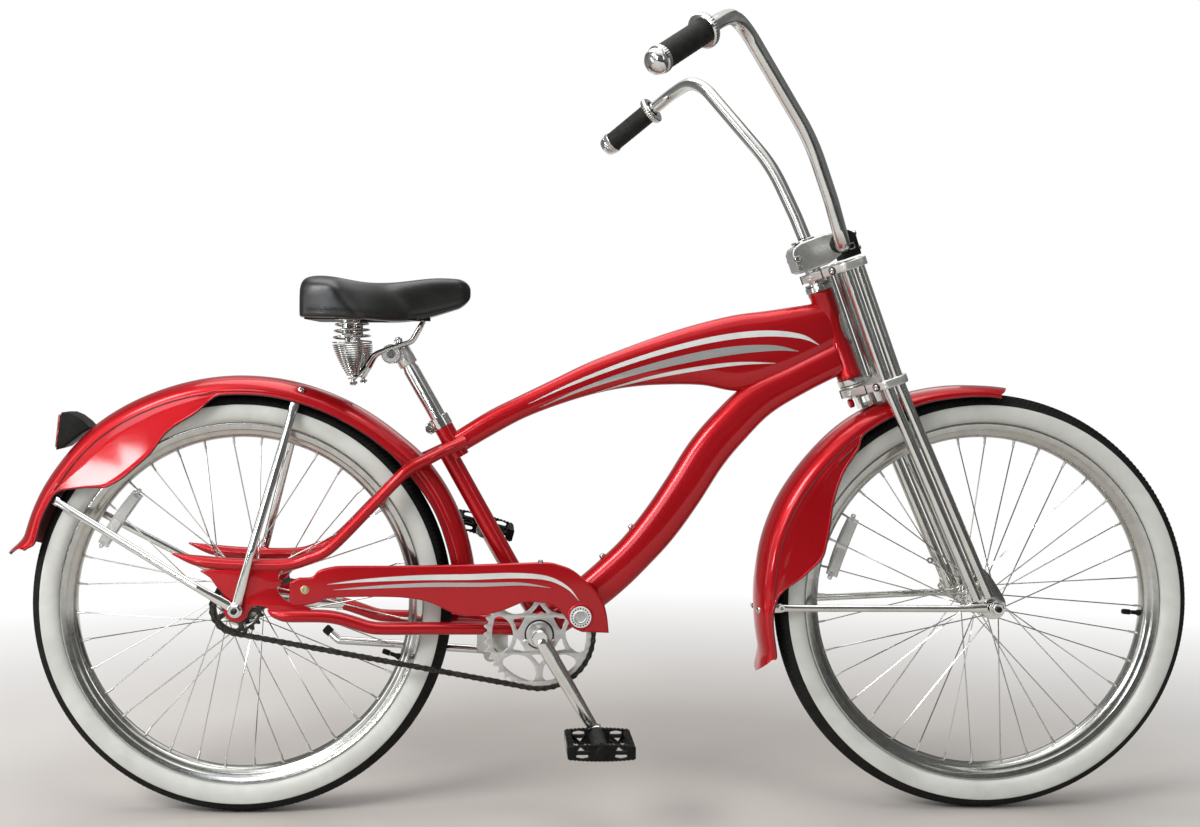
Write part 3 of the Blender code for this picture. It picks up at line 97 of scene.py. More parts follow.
def seat(s, f=0, y=0):
    """The place s up the seat post from the lug's top, f in front of it and y to the left."""
    x = SEAT_LUG_TOP[0] - s * math.sin(SEAT_ANGLE) + f * math.cos(SEAT_ANGLE)
    z = SEAT_LUG_TOP[1] + s * math.cos(SEAT_ANGLE) + f * math.sin(SEAT_ANGLE)
    return at(x, y, z)


def polar(centre, radius, turn, y=0):
    """The place at a radius and a turn in the side view, y to the left of centre."""
    return centre + Vector((radius * math.cos(turn), y, radius * math.sin(turn)))


REAR_AXLE = at(0, 0, AXLE_Z)
FRONT_AXLE = at(WHEELBASE, 0, AXLE_Z)
BRACKET_AXIS = at(BRACKET[0], 0, BRACKET[1])
DOWN_STEER = (steer(1) - steer(0)).normalized()
FORE_STEER = (steer(0, 1) - steer(0)).normalized()
UP_POST = (seat(1) - seat(0)).normalized()
FORE_POST = (seat(0, 1) - seat(0)).normalized()


# Materials
class Look:
    """A Principled material with helpers for its procedural detail, all in the object's own metres."""

    def __init__(self, name, colour, roughness, metallic=0.0, **inputs):
        self.material = bpy.data.materials.new(name)
        self.material.use_nodes = True
        self.nodes = self.material.node_tree.nodes
        self.links = self.material.node_tree.links
        self.shader = self.nodes["Principled BSDF"]
        self.place = self.nodes.new("ShaderNodeTexCoord").outputs["Object"]
        self.height = None
        inputs.update(Base_Color=(*colour, 1.0), Roughness=roughness, Metallic=metallic)
        for key, value in inputs.items():
            self.shader.inputs[key.replace("_", " ")].default_value = value

    def node(self, kind, **inputs):
        made = self.nodes.new("ShaderNode" + kind)
        for key, value in inputs.items():
            made.inputs[key.replace("_", " ")].default_value = value
        return made

    def noise(self, scale, detail, distortion=0.0, stretch=None):
        node = self.node("TexNoise", Scale=scale, Detail=detail, Distortion=distortion)
        place = self.place
        if stretch:
            mapping = self.node("Mapping", Scale=stretch)
            self.links.new(place, mapping.inputs["Vector"])
            place = mapping.outputs["Vector"]
        self.links.new(place, node.inputs["Vector"])
        return node.outputs["Fac"]

    def cells(self, scale):
        node = self.node("TexVoronoi", Scale=scale)
        node.feature = "DISTANCE_TO_EDGE"
        self.links.new(self.place, node.inputs["Vector"])
        return node.outputs["Distance"]

    def ramp(self, value, low, high, first, last):
        """value from low to high turned into a number or a colour between first and last."""
        is_colour = isinstance(first, tuple)
        ends = (0.0, 1.0) if is_colour else (first, last)
        node = self.node("MapRange", From_Min=low, From_Max=high, To_Min=ends[0], To_Max=ends[1])
        self.links.new(value, node.inputs["Value"])
        if not is_colour:
            return node.outputs["Result"]
        mix = self.nodes.new("ShaderNodeMix")
        mix.data_type = "RGBA"
        self.links.new(node.outputs["Result"], mix.inputs["Factor"])
        mix.inputs[6].default_value = (*first, 1.0)
        mix.inputs[7].default_value = (*last, 1.0)
        return mix.outputs[2]

    def vary(self, value, low, high, first, last):
        """Base colour or roughness, by what first and last are, led by value."""
        key = "Base Color" if isinstance(first, tuple) else "Roughness"
        self.links.new(self.ramp(value, low, high, first, last), self.shader.inputs[key])

    def bump(self, value, distance, strength):
        node = self.node("Bump", Distance=distance, Strength=strength)
        self.links.new(value, node.inputs["Height"])
        if self.height is not None:
            self.links.new(self.height, node.inputs["Normal"])
        self.height = node.outputs["Normal"]
        self.links.new(self.height, self.shader.inputs["Normal"])


# Each look's material name, colour, roughness, metallic and further inputs, then its rows of detail. A row
# starts with its pattern: (scale, detail, distortion) of noise, or the (scale,) of cells. Then it has either
# the values between which the pattern is read and the two colours or roughnesses that it runs between, or
# the distance and strength of a bump.
LOOK_ROWS = {
    "paint": ("candy_red_paint", (0.42, 0.0045, 0.009), 0.34, 0.45,
              dict(Coat_Weight=1, Coat_Roughness=0.065, Coat_IOR=1.35, Specular_IOR_Level=0.12),
              ((9, 2), 0.3, 0.7, (0.40, 0.004, 0.008), (0.46, 0.006, 0.011)),
              ((2600, 1), 0.35, 0.65, 0.27, 0.42), ((3200, 0), 0.000005, 0.4)),
    # A darker red for the fenders' and the guard's inner faces: painted shade, as the insides lie in shadow.
    "paint_inside": ("red_paint_inside", (0.10, 0.008, 0.010), 0.6, 0, {},
                     ((35, 4), 0.3, 0.7, (0.060, 0.006, 0.008), (0.12, 0.010, 0.012)),
                     ((900, 2), 0.00004, 0.5)),
    "chrome": ("chrome_plate", (0.66, 0.66, 0.63), 0.12, 1, {},
               ((28, 4), 0.3, 0.75, (0.61, 0.61, 0.58), (0.71, 0.71, 0.68)),
               ((60, 5), 0.35, 0.75, 0.13, 0.19), ((420, 2), 0.00002, 0.35)),
    "brushed_alloy": ("satin_alloy", (0.66, 0.66, 0.63), 0.34, 0.9, {},
                      ((240, 4), 0.3, 0.7, (0.63, 0.63, 0.60), (0.70, 0.70, 0.67)),
                      ((420, 3), 0.3, 0.7, 0.32, 0.40), ((1500, 3), 0.00003, 0.6)),
    "stem_alloy": ("stem_alloy", (0.44, 0.44, 0.42), 0.36, 0.9, {},
                   ((240, 4), 0.3, 0.7, (0.40, 0.40, 0.38), (0.48, 0.48, 0.46)),
                   ((420, 3), 0.3, 0.7, 0.32, 0.42), ((1500, 3), 0.00003, 0.6)),
    "ring_alloy": ("bright_alloy", (0.62, 0.62, 0.60), 0.28, 1, {},
                   ((160, 4), 0.3, 0.7, (0.58, 0.58, 0.56), (0.67, 0.67, 0.65)),
                   ((160, 3), 0.3, 0.7, 0.28, 0.36), ((1200, 2), 0.00001, 0.3)),
    "rim_steel": ("rim_steel", (0.48, 0.48, 0.45), 0.18, 1, {},
                  ((60, 4), 0.3, 0.7, (0.44, 0.44, 0.41), (0.52, 0.52, 0.49)),
                  ((160, 4), 0.3, 0.75, 0.14, 0.22), ((600, 2), 0.00003, 0.4)),
    "dark_steel": ("dark_steel", (0.045, 0.043, 0.040), 0.4, 1, {},
                   ((240, 4), 0.3, 0.7, (0.018, 0.017, 0.015), (0.075, 0.072, 0.066)),
                   ((500, 3), 0.3, 0.7, 0.28, 0.50), ((1600, 2), 0.00004, 0.5)),
    "black_plastic": ("black_plastic", (0.006, 0.006, 0.005), 0.46, 0, dict(Specular_IOR_Level=0.12),
                      ((120, 3), 0.3, 0.7, (0.004, 0.004, 0.003), (0.009, 0.009, 0.008)),
                      ((400, 3), 0.3, 0.7, 0.38, 0.56), ((2200, 2), 0.00004, 0.6)),
    "grip_rubber": ("grip_rubber", (0.011, 0.011, 0.009), 0.66, 0, dict(Specular_IOR_Level=0.25),
                    ((90, 3), 0.3, 0.7, (0.007, 0.007, 0.006), (0.015, 0.015, 0.012)),
                    ((300, 3), 0.3, 0.7, 0.58, 0.76), ((1100,), 0.00012, 0.6)),
    "tyre": ("tyre_rubber", (0.009, 0.009, 0.008), 0.72, 0, dict(Specular_IOR_Level=0.15),
             ((45, 5), 0.3, 0.75, (0.006, 0.006, 0.006), (0.014, 0.014, 0.012)),
             ((220, 3), 0.3, 0.7, 0.62, 0.84), ((1300, 3), 0.00010, 0.6)),
    "whitewall": ("whitewall_rubber", (0.62, 0.635, 0.60), 0.52, 0, {},
                  ((14, 6, 0.6), 0.35, 0.8, (0.66, 0.675, 0.64), (0.50, 0.51, 0.475)),
                  ((90, 3), 0.3, 0.7, 0.44, 0.62), ((700, 3), 0.00006, 0.5)),
    "vinyl": ("black_vinyl", (0.004, 0.004, 0.003), 0.34, 0,
              dict(Sheen_Weight=0.01, Sheen_Roughness=0.4, Specular_IOR_Level=0.62),
              ((26, 3), 0.3, 0.7, (0.003, 0.003, 0.002), (0.006, 0.006, 0.005)),
              ((60, 4), 0.3, 0.7, 0.33, 0.38), ((760,), 0.00010, 0.45), ((2400, 2), 0.00003, 0.4)),
    "white_stripe": ("white_stripe", (0.66, 0.69, 0.67), 0.30, 0, dict(Coat_Weight=1, Coat_Roughness=0.05),
                     ((40, 3), 0.3, 0.7, (0.62, 0.65, 0.63), (0.72, 0.74, 0.72)),
                     ((1500, 1), 0.00001, 0.4)),
    "silver_stripe": ("silver_stripe", (0.46, 0.46, 0.45), 0.36, 0.55,
                      dict(Coat_Weight=1, Coat_Roughness=0.05),
                      ((900, 2), 0.3, 0.7, (0.40, 0.40, 0.39), (0.54, 0.54, 0.53)),
                      ((1500, 1), 0.00001, 0.4)),
    "red_lens": ("red_lens", (0.55, 0.012, 0.016), 0.12, 0,
                 dict(Transmission_Weight=0.35, Coat_Weight=1, Coat_Roughness=0.03),
                 ((420,), 0, 0.4, (0.30, 0.004, 0.006), (0.62, 0.016, 0.020)), ((420,), 0.0006, 0.8)),
    "clear_lens": ("clear_reflector", (0.78, 0.79, 0.77), 0.16, 0, dict(Transmission_Weight=0.55, IOR=1.49),
                   ((520,), 0, 0.4, (0.62, 0.63, 0.61), (0.88, 0.89, 0.87)), ((520,), 0.0005, 0.8)),
    "mirror_cells": ("reflecting_cells", (0.62, 0.62, 0.60), 0.22, 0.1, dict(Coat_Weight=1),
                     ((900,), 0, 0.35, (0.48, 0.48, 0.46), (0.74, 0.74, 0.72)), ((900,), 0.0004, 0.8)),
    "brass": ("yellow_zinc", (0.62, 0.50, 0.26), 0.28, 1, {},
              ((400, 3), 0.3, 0.7, (0.52, 0.40, 0.20), (0.70, 0.60, 0.36)), ((1500, 2), 0.00003, 0.5)),
}


def make_looks():
    looks = {}
    for key, (name, colour, roughness, metallic, inputs, *rows) in LOOK_ROWS.items():
        look = Look(name, colour, roughness, metallic, **inputs)
        for pattern, *values in rows:
            value = look.noise(*pattern) if len(pattern) > 1 else look.cells(*pattern)
            (look.bump if len(values) == 2 else look.vary)(value, *values)
        looks[key] = look.material
    return looks


LOOKS = make_looks()


# Mesh helpers. A shell is a pair of vertices and faces.
class Shape:
    """Shells gathered into one piece, each with its own material."""

    def __init__(self, *materials):
        self.materials = materials
        self.verts, self.faces, self.which = [], [], []

    def add(self, shell, material=0):
        verts, faces = shell
        start = len(self.verts)
        self.verts += [Vector(v) for v in verts]
        self.faces += [[start + k for k in face] for face in faces]
        self.which += [material] * len(faces) if isinstance(material, int) else material
        return self

    def make(self, name, body, slot, replaces=None, sharp=32, bevel=0):
        mesh = bpy.data.meshes.new(name)
        mesh.from_pydata([tuple(v * MM) for v in self.verts], [], self.faces)
        for material in self.materials:
            mesh.materials.append(LOOKS[material])
        mesh.polygons.foreach_set("material_index", self.which)
        form = bmesh.new()
        form.from_mesh(mesh)
        bmesh.ops.recalc_face_normals(form, faces=form.faces)
        form.to_mesh(mesh)
        form.free()
        mesh.polygons.foreach_set("use_smooth", [True] * len(mesh.polygons))
        mesh.set_sharp_from_angle(angle=math.radians(sharp))
        piece = bpy.data.objects.new(name, mesh)
        bpy.context.scene.collection.objects.link(piece)
        if bevel:
            edge = piece.modifiers.new("edges", "BEVEL")
            edge.width = bevel * MM
            edge.segments = 2
            edge.limit_method = "ANGLE"
            edge.angle_limit = math.radians(sharp)
            edge.harden_normals = True
        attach(piece, body)
        if replaces:
            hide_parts(replaces)
        return piece


def rings_shell(rings, closed_loop=False):
    """Quads between rings of equal count, with flat ends unless the rings close a loop."""
    count = len(rings[0])
    verts = [v for ring in rings for v in ring]
    faces = []
    for row in range(len(rings) if closed_loop else len(rings) - 1):
        first, second = row * count, ((row + 1) % len(rings)) * count
        for k in range(count):
            after = (k + 1) % count
            faces.append([first + k, first + after, second + after, second + k])
    if not closed_loop:
        faces.append(list(reversed(range(count))))
        faces.append(list(range((len(rings) - 1) * count, len(rings) * count)))
    return verts, faces


def power_curve(turn, power):
    """A place on a circle that grows squarer as power grows from 2."""
    return [math.copysign(abs(part) ** (2 / power), part) for part in (math.cos(turn), math.sin(turn))]


def sweep(path, radii, sides=20, side=None, power=2):
    """A tube along a path that turns as little as it can. radii is a number, or a number or a (side, up) pair
    for each place, and side the first place's side direction.
    """
    rings = []
    for k, place in enumerate(path):
        tangent = (path[min(k + 1, len(path) - 1)] - path[max(k - 1, 0)]).normalized()
        if side is None:
            side = LEFT if abs(tangent.dot(LEFT)) < 0.9 else UP
        side = (side - tangent * side.dot(tangent)).normalized()
        up = tangent.cross(side)
        size = radii if isinstance(radii, (int, float)) else radii[k]
        wide, high = size if isinstance(size, tuple) else (size, size)
        ring = []
        for step in range(sides):
            across, rise = power_curve(2 * math.pi * step / sides, power)
            ring.append(place + side * (across * wide) + up * (rise * high))
        rings.append(ring)
    return rings_shell(rings)


def upright(axis):
    """A direction square to the axis, forward where it can be."""
    side = FORWARD if abs(axis.x) < 0.9 else UP
    return (side - axis * side.dot(axis)).normalized()


def lathe(profile, centre, axis, steps=48):
    """A profile of (radius, height) places turned about an axis, closed where it isn't on the axis."""
    axis = axis.normalized()
    side = upright(axis)
    other = axis.cross(side)
    verts, faces, rows = [], [], []
    for radius, height in profile:
        turns = [2 * math.pi * step / steps for step in range(steps if radius else 1)]
        rows.append([len(verts) + k for k in range(len(turns))])
        verts += [centre + axis * height + (side * math.cos(turn) + other * math.sin(turn)) * radius
                  for turn in turns]
    pairs = list(zip(rows, rows[1:]))
    if profile[0][0] or profile[-1][0]:
        pairs.append((rows[-1], rows[0]))
    for first, second in pairs:
        for k in range(steps):
            after = (k + 1) % steps
            if len(first) > 1 and len(second) > 1:
                faces.append([first[k], first[after], second[after], second[k]])
            elif len(second) > 1:
                faces.append([first[0], second[after], second[k]])
            elif len(first) > 1:
                faces.append([first[k], first[after], second[0]])
    return verts, faces


def two_sided(half):
    """A profile with its mirror image added, and a last place on the middle kept once."""
    back = [(radius, -height) for radius, height in reversed(half)]
    return half + (back if half[-1][1] else back[1:])


def rod(start, end, radius, steps=24):
    axis = end - start
    return lathe([(0, 0), (radius, 0), (radius, axis.length), (0, axis.length)], start, axis, steps)


def block(size, centre, along=UP, sideways=None):
    """A box of (side, across, along) sizes."""
    along = along.normalized()
    side = upright(along) if sideways is None else (sideways - along * sideways.dot(along)).normalized()
    across = along.cross(side)
    verts = []
    for k in range(8):
        signs = [1 if k >> bit & 1 else -1 for bit in range(3)]
        verts.append(sum((axis * (sign * length / 2) for axis, sign, length
                          in zip((side, across, along), signs, size)), centre))
    return verts, [[0, 2, 3, 1], [4, 5, 7, 6], [0, 1, 5, 4], [2, 6, 7, 3], [0, 4, 6, 2], [1, 3, 7, 5]]


def slab(outline, thickness, matrix, holes=(), edge=0.4, edge_steps=2):
    """A flat plate with softened edges: outline and holes are in the matrix's own X and Y."""
    curve = bpy.data.curves.new("slab", "CURVE")
    curve.dimensions = "2D"
    curve.fill_mode = "BOTH"
    curve.extrude = (thickness / 2 - edge) * MM
    curve.bevel_depth = edge * MM
    curve.bevel_resolution = edge_steps
    curve.offset = -edge * MM
    for ring in (outline, *holes):
        line = curve.splines.new("POLY")
        line.points.add(len(ring) - 1)
        for number, (x, y) in enumerate(ring):
            line.points[number].co = (x * MM, y * MM, 0, 1)
        line.use_cyclic_u = True
    holder = bpy.data.objects.new("slab", curve)
    mesh = bpy.data.meshes.new_from_object(holder)
    form = bmesh.new()
    form.from_mesh(mesh)
    bmesh.ops.remove_doubles(form, verts=form.verts, dist=0.001 * MM)
    verts = [matrix @ (v.co / MM) for v in form.verts]
    faces = [[v.index for v in face.verts] for face in form.faces]
    form.free()
    bpy.data.objects.remove(holder)
    bpy.data.curves.remove(curve)
    bpy.data.meshes.remove(mesh)
    return verts, faces


def axes_matrix(side, across, out, centre):
    matrix = Matrix((side, across, out)).transposed().to_4x4()
    matrix.translation = centre
    return matrix


def side_matrix(y):
    """Flat outlines of (x, z) places from the rear axle, standing at y."""
    return axes_matrix(FORWARD, UP, -LEFT, at(0, y, 0))


def circle(centre, radius, steps, start=0):
    turns = [start + 2 * math.pi * k / steps for k in range(steps)]
    return [(centre[0] + radius * math.cos(turn), centre[1] + radius * math.sin(turn)) for turn in turns]


def hull(points):
    def half(ordered):
        made = []
        for x, y in ordered:
            while len(made) > 1:
                (x0, y0), (x1, y1) = made[-2:]
                if (x1 - x0) * (y - y0) - (y1 - y0) * (x - x0) > 0:
                    break
                made.pop()
            made.append((x, y))
        return made[:-1]
    ordered = sorted(points)
    return half(ordered) + half(ordered[::-1])


def lozenge(first, last, radius, steps):
    """A flat outline with round ends about two places."""
    return hull(circle(first, radius, steps) + circle(last, radius, steps))


def rounded(points, bends):
    """The path through points, with each inner corner given its bend: a radius and a count of steps."""
    path = [points[0]]
    for before, corner, after, (radius, steps) in zip(points, points[1:], points[2:], bends):
        to_before = (before - corner).normalized()
        to_after = (after - corner).normalized()
        half = to_before.angle(to_after) / 2
        reach = radius / math.tan(half)
        first, last = corner + to_before * reach, corner + to_after * reach
        centre = corner + (to_before + to_after).normalized() * (radius / math.sin(half))
        swing = (first - centre).angle(last - centre)
        for k in range(steps + 1):
            share = k / steps
            arm = (first - centre) * math.sin(swing * (1 - share)) + (last - centre) * math.sin(swing * share)
            path.append(centre + arm / math.sin(swing))
    path.append(points[-1])
    return path


def spline(points, steps, closed=False):
    """A smooth path through rows of numbers or vectors, or a closed loop through them.

    At each row it runs along the line between the row's neighbours.
    """
    rows = [tuple(point) for point in points]
    count = len(rows)
    made = []
    for k in range(count if closed else count - 1):
        near = [rows[(k + step) % count if closed else min(max(k + step, 0), count - 1)]
                for step in (-1, 0, 1, 2)]
        for step in range(steps):
            t = step / steps
            made.append(tuple(0.5 * (2 * b + (c - a) * t + (2 * a - 5 * b + 4 * c - d) * t * t
                                     + (3 * b - a - 3 * c + d) * t ** 3)
                              for a, b, c, d in zip(*near)))
    return made if closed else made + [rows[-1]]


def tapered(path, radii, steps):
    """The smooth path through places that each have a radius, as a path and its radii."""
    rows = spline([(*point, radius) for point, radius in zip(path, radii)], steps)
    return [Vector(row[:3]) for row in rows], [row[3] for row in rows]


def mirrored(points):
    return [Vector((p.x, -p.y, p.z)) for p in points]


def inset(outline, by):
    """The outline moved inwards, for outlines that run clockwise."""
    made = []
    count = len(outline)
    for k in range(count):
        before, here, after = (Vector(outline[(k + step) % count]) for step in (-1, 0, 1))
        first, second = (here - before).normalized(), (after - here).normalized()
        normal = Vector((first.y + second.y, -first.x - second.x))
        made.append(tuple(here + normal / max(normal.dot(Vector((first.y, -first.x))), 0.3) * by))
    return made


def bolt(centre, axis, radius, height, socket=True, washer=0):
    """A round-headed screw, with a socket or a dome, whose head rises from centre along the axis."""
    profile = [(0, -2), (radius, -2), (radius, height * 0.72), (radius * 0.86, height)]
    if socket:
        profile += [(radius * 0.5, height), (radius * 0.46, height * 0.35), (0, height * 0.3)]
    else:
        profile += [(radius * 0.5, height * 1.12), (0, height * 1.16)]
    verts, faces = lathe(profile, centre, axis, 24)
    if washer:
        ring = [(radius * 0.9, -1), (washer, -1), (washer, 0.7), (radius * 0.9, 0.9)]
        more_verts, more_faces = lathe(ring, centre, axis, 28)
        faces += [[len(verts) + k for k in face] for face in more_faces]
        verts += more_verts
    return verts, faces


def hex_nut(centre, axis, flat_radius, height, bore):
    """A chamfered six-sided nut standing on centre."""
    corner, chamfer = flat_radius * 1.1, flat_radius * 0.1
    return lathe([(bore, 0), (flat_radius, 0), (corner, chamfer), (corner, height - chamfer),
                  (flat_radius, height), (bore, height)], centre, axis, 6)


def knurled(start, out, profile, bore, teeth, bite):
    """A ring of (radius, height, cut) places about out, notched by bite where cut is 1, with a round bore."""
    side = out.orthogonal().normalized()
    other = out.cross(side)
    turns = [math.pi * k / teeth for k in range(2 * teeth)]
    rings = []
    for radius, height, cut in [*profile, (bore, profile[-1][1], 0), (bore, profile[0][1], 0)]:
        rings.append([start + out * height + (side * math.cos(turn) + other * math.sin(turn))
                      * (radius - bite * cut * (k % 2)) for k, turn in enumerate(turns)])
    return rings_shell(rings, closed_loop=True)


def surface_tree(*pieces):
    """A search tree over the pieces' shown meshes, with their modifiers."""
    graph = bpy.context.evaluated_depsgraph_get()
    verts, faces = [], []
    for piece in pieces:
        shown = piece.evaluated_get(graph)
        mesh = shown.to_mesh()
        start = len(verts)
        verts += [(piece.matrix_world @ v.co) / MM for v in mesh.vertices]
        faces += [[start + k for k in face.vertices] for face in mesh.polygons]
        shown.to_mesh_clear()
    return BVHTree.FromPolygons(verts, faces)


# Wheels
TYRE_TOP = 331.8
TREAD_DEPTH = 1.8
TREAD_PITCHES = 246
TREAD_STAGES = (0, 0.5, 0.6, 0.9)
TREAD_SLANT = 0.62
WALL_CENTRE = 307.5
WALL_HALF = 26.8
SHOULDER_Y = 22.2
# One side of a tyre, from bead to shoulder: radius, distance from the middle, and whether it is white
TYRE_WALL = [(286.1, 15, 1), (287.2, 18.8, 1), (287.8, 20.5, 1), (289.2, 22.2, 1), (292, 24.2, 1),
             (296.5, 25.9, 1), (302.5, 26.7, 1), (308.5, 26.7, 1), (313, 26, 1), (314.7, 25.5, 1),
             (315.3, 24.9, 0), (318, 23.8, 0)]
# The tread from shoulder to middle: distance from the middle, and 0 for a groove, 1 for blocks, 2 for a rib
TREAD = [(22.2, 0), (21.6, 1), (19, 1), (16.2, 1), (15.6, 0), (14.2, 0), (13.6, 1), (9.7, 1), (5.8, 1),
         (5.2, 0), (3.6, 0), (3, 2), (0, 2)]


def tread_base(y):
    return WALL_CENTRE + (TYRE_TOP - TREAD_DEPTH - WALL_CENTRE) * math.sqrt(1 - (y / WALL_HALF) ** 2)


def make_tyre(prefix, axle):
    half = [(radius, y, 0, white) for radius, y, white in TYRE_WALL]
    half += [(tread_base(y), y, kind, 0) for y, kind in TREAD]
    section = half + [(radius, -y, kind, white) for radius, y, kind, white in half[-2::-1]]
    section += [(286.1, -12.5, 0, 0), (286.1, 12.5, 0, 0)]
    columns = [(number + stage, 1 if k < 2 else 0) for number in range(TREAD_PITCHES)
               for k, stage in enumerate(TREAD_STAGES)]
    verts, faces, which = [], [], []
    for radius, y, kind, _white in section:
        lag = min(abs(y), SHOULDER_Y) * TREAD_SLANT / WALL_CENTRE
        for place, on_block in columns:
            rise = TREAD_DEPTH * (kind == 2 or (kind == 1 and on_block))
            turn = 2 * math.pi * place / TREAD_PITCHES + lag
            verts.append(polar(axle, radius + rise, turn, y))
    wide = len(columns)
    for row, start in enumerate(section):
        after = (row + 1) % len(section)
        is_white = start[3] and section[after][3]
        for k in range(wide):
            following = (k + 1) % wide
            faces.append([row * wide + k, row * wide + following, after * wide + following, after * wide + k])
            which.append(1 if is_white else 0)
    shape = Shape("tyre", "whitewall").add((verts, faces), which)
    shape.make(f"{prefix}_tyre_look", f"{prefix}_wheel", "tyre", f"{prefix}_tyre", sharp=50)


RIM_PROFILE = [(286.2, 16.8), (285.3, 17.8), (283.8, 18), (282.6, 17.4), (276.5, 17), (275.2, 16),
               (274.2, 14.8), (270, 13.6), (266.5, 11.4), (264, 8.4), (262.6, 4.6), (262, 0)]


def make_rim(prefix, axle):
    inside = [(286.2, -15.2), (279, -13), (269, -6), (268, 0), (269, 6), (279, 13), (286.2, 15.2)]
    shape = Shape("rim_steel").add(lathe(two_sided(RIM_PROFILE) + inside, axle, LEFT, 160))
    shape.make(f"{prefix}_rim_look", f"{prefix}_wheel", "chrome", f"{prefix}_rim", sharp=40)


SPOKES_A_SIDE = 18
SPOKE_CROSSES = 3
SPOKE_RADIUS = 1
SPOKE_HOLE_INSET = 4
FLANGE_HALF = 1.4
RIM_INNER = 261.8
VALVE_ROOT = 262.5
NUT_Y = 72
AXLE_END = 83
AXLE_THREADS = 9


def make_spokes(prefix, axle, flanges, first_turn):
    """Both sides' laced spokes with their elbows and heads. The nipples are a piece of their own."""
    spokes, nipples = Shape("chrome"), Shape("ring_alloy")
    pitch = 2 * math.pi / SPOKES_A_SIDE
    for number, (flange_y, flange_radius) in enumerate(flanges):
        for k in range(SPOKES_A_SIDE):
            lean = 1 if k % 2 == 0 else -1
            start_turn = first_turn + (k + number / 2) * pitch
            end_turn = start_turn + lean * pitch * SPOKE_CROSSES
            root = flange_radius - SPOKE_HOLE_INSET
            face_y = flange_y + lean * (FLANGE_HALF + SPOKE_RADIUS)
            back_y = flange_y - lean * FLANGE_HALF
            end_y = flange_y * 0.1 + SPOKE_RADIUS * 1.2 * lean
            hole = polar(axle, root, start_turn, back_y)
            start = polar(axle, root, start_turn, face_y)
            end = polar(axle, RIM_INNER - 11, end_turn, end_y)
            rim_end = polar(axle, RIM_INNER + 3, end_turn, end_y * 0.6)
            heading = (end - start).normalized()
            bend = start + heading * 1.6
            spokes.add(sweep([hole, start - LEFT * (lean * 0.8), bend, end], SPOKE_RADIUS, 7))
            spokes.add(lathe([(0, -1.2), (1.3, -1.1), (2, -0.3), (1.9, 0.4), (0, 0.5)], hole, LEFT * lean,
                             10))
            axis = (rim_end - end).normalized()
            length = (rim_end - end).length
            nipples.add(lathe([(0, -1), (1.4, -0.8), (1.8, 0.6), (1.8, length * 0.55), (2.4, length * 0.72),
                               (2.4, length), (0, length)], end, axis, 8))
    nipples.make(f"{prefix}_nipples", f"{prefix}_wheel", "brushed_alloy")
    return spokes


def hub_profile(left, right, radius, barrel, half_shell, bore):
    """A hub shell with flanges of a radius at left and right, a barrel's radius and a bore."""
    waist = barrel * 0.82

    def half(out):
        low, high = out - FLANGE_HALF, out + FLANGE_HALF
        return [(waist * 0.86, half_shell), (waist * 0.94, half_shell - 1.5), (waist, out + 6.5),
                (waist * 1.06, out + 3.5), (radius - 6, high), (radius - 1.2, high), (radius, high - 0.7),
                (radius, low + 0.7), (radius - 1.2, low), (radius - 6, low), (barrel * 1.1, out - 4.5),
                (barrel * 0.96, out - 10), (barrel * 0.88, out * 0.45)]
    mirror = [(size, -height) for size, height in reversed(half(-right))]
    return [*half(left), (barrel * 0.86, 0), *mirror, (bore, -half_shell), (bore, half_shell)]


def make_hub(prefix, axle, first_turn, left, right, radius, *sizes):
    """A hub with its spokes. The sizes after the flanges' radius are as in hub_profile()."""
    shape = make_spokes(prefix, axle, ((right, radius), (left, radius)), first_turn)
    shape.add(lathe(hub_profile(left, right, radius, *sizes), axle, LEFT, 64))
    shape.make(f"{prefix}_hub_look", f"{prefix}_wheel", "chrome", f"{prefix}_hub_and_spokes", sharp=38)


def make_axle(prefix, axle, body, cone_in, cone_out, cone_steps):
    """A threaded axle with its two cones, and a washer and a nut outside each dropout or fork tab."""
    threads = 2 * AXLE_THREADS
    pitch = (AXLE_END - NUT_Y - 8.3) / threads
    thread = [(4.3 if k % 2 else 4.8, AXLE_END - 0.8 - k * pitch) for k in range(threads + 1)]
    shape = Shape("chrome", "dark_steel")
    shape.add(lathe(two_sided([(0, AXLE_END), (4, AXLE_END), *thread, (4.7, cone_out)]), axle, LEFT, 24), 1)
    for _side, sign in SIDES:
        out = LEFT * sign
        shape.add(lathe([(4.6, cone_in), (8.6, cone_in), (9.2, cone_in + 1.5), (9.2, cone_out - 0.8),
                         (8.6, cone_out), (4.6, cone_out)], axle, out, cone_steps))
        shape.add(lathe([(4.6, -0.4), (11.2, -0.4), (11.5, 0.6), (10.4, 1.2), (4.6, 1.2)],
                        axle + out * NUT_Y, out, 32))
        shape.add(hex_nut(axle + out * (NUT_Y + 1.2), out, 8.6, 6.4, 4.6))
    shape.make(f"{prefix}_axle_look", body, "chrome", f"{prefix}_axle", sharp=28, bevel=0.2)


def make_valve(prefix, axle, turn):
    inward = polar(Vector(), -1, turn)
    base = axle - inward * VALVE_ROOT
    shape = Shape("black_plastic", "brass")
    shape.add(lathe([(0, 0), (5.2, 0), (4.8, 3), (3.4, 6), (3.2, 16), (0, 16)], base, inward, 18))
    shape.add(lathe([(0, 15.5), (4, 15.5), (4.4, 16.5), (4.4, 25.5), (3.6, 28), (0, 28.5)], base, inward, 14))
    shape.add(lathe([(0, 15), (3.6, 15), (3.6, 15.7), (0, 15.7)], base, inward, 18), 1)
    shape.make(f"{prefix}_valve", f"{prefix}_wheel", "black_plastic")


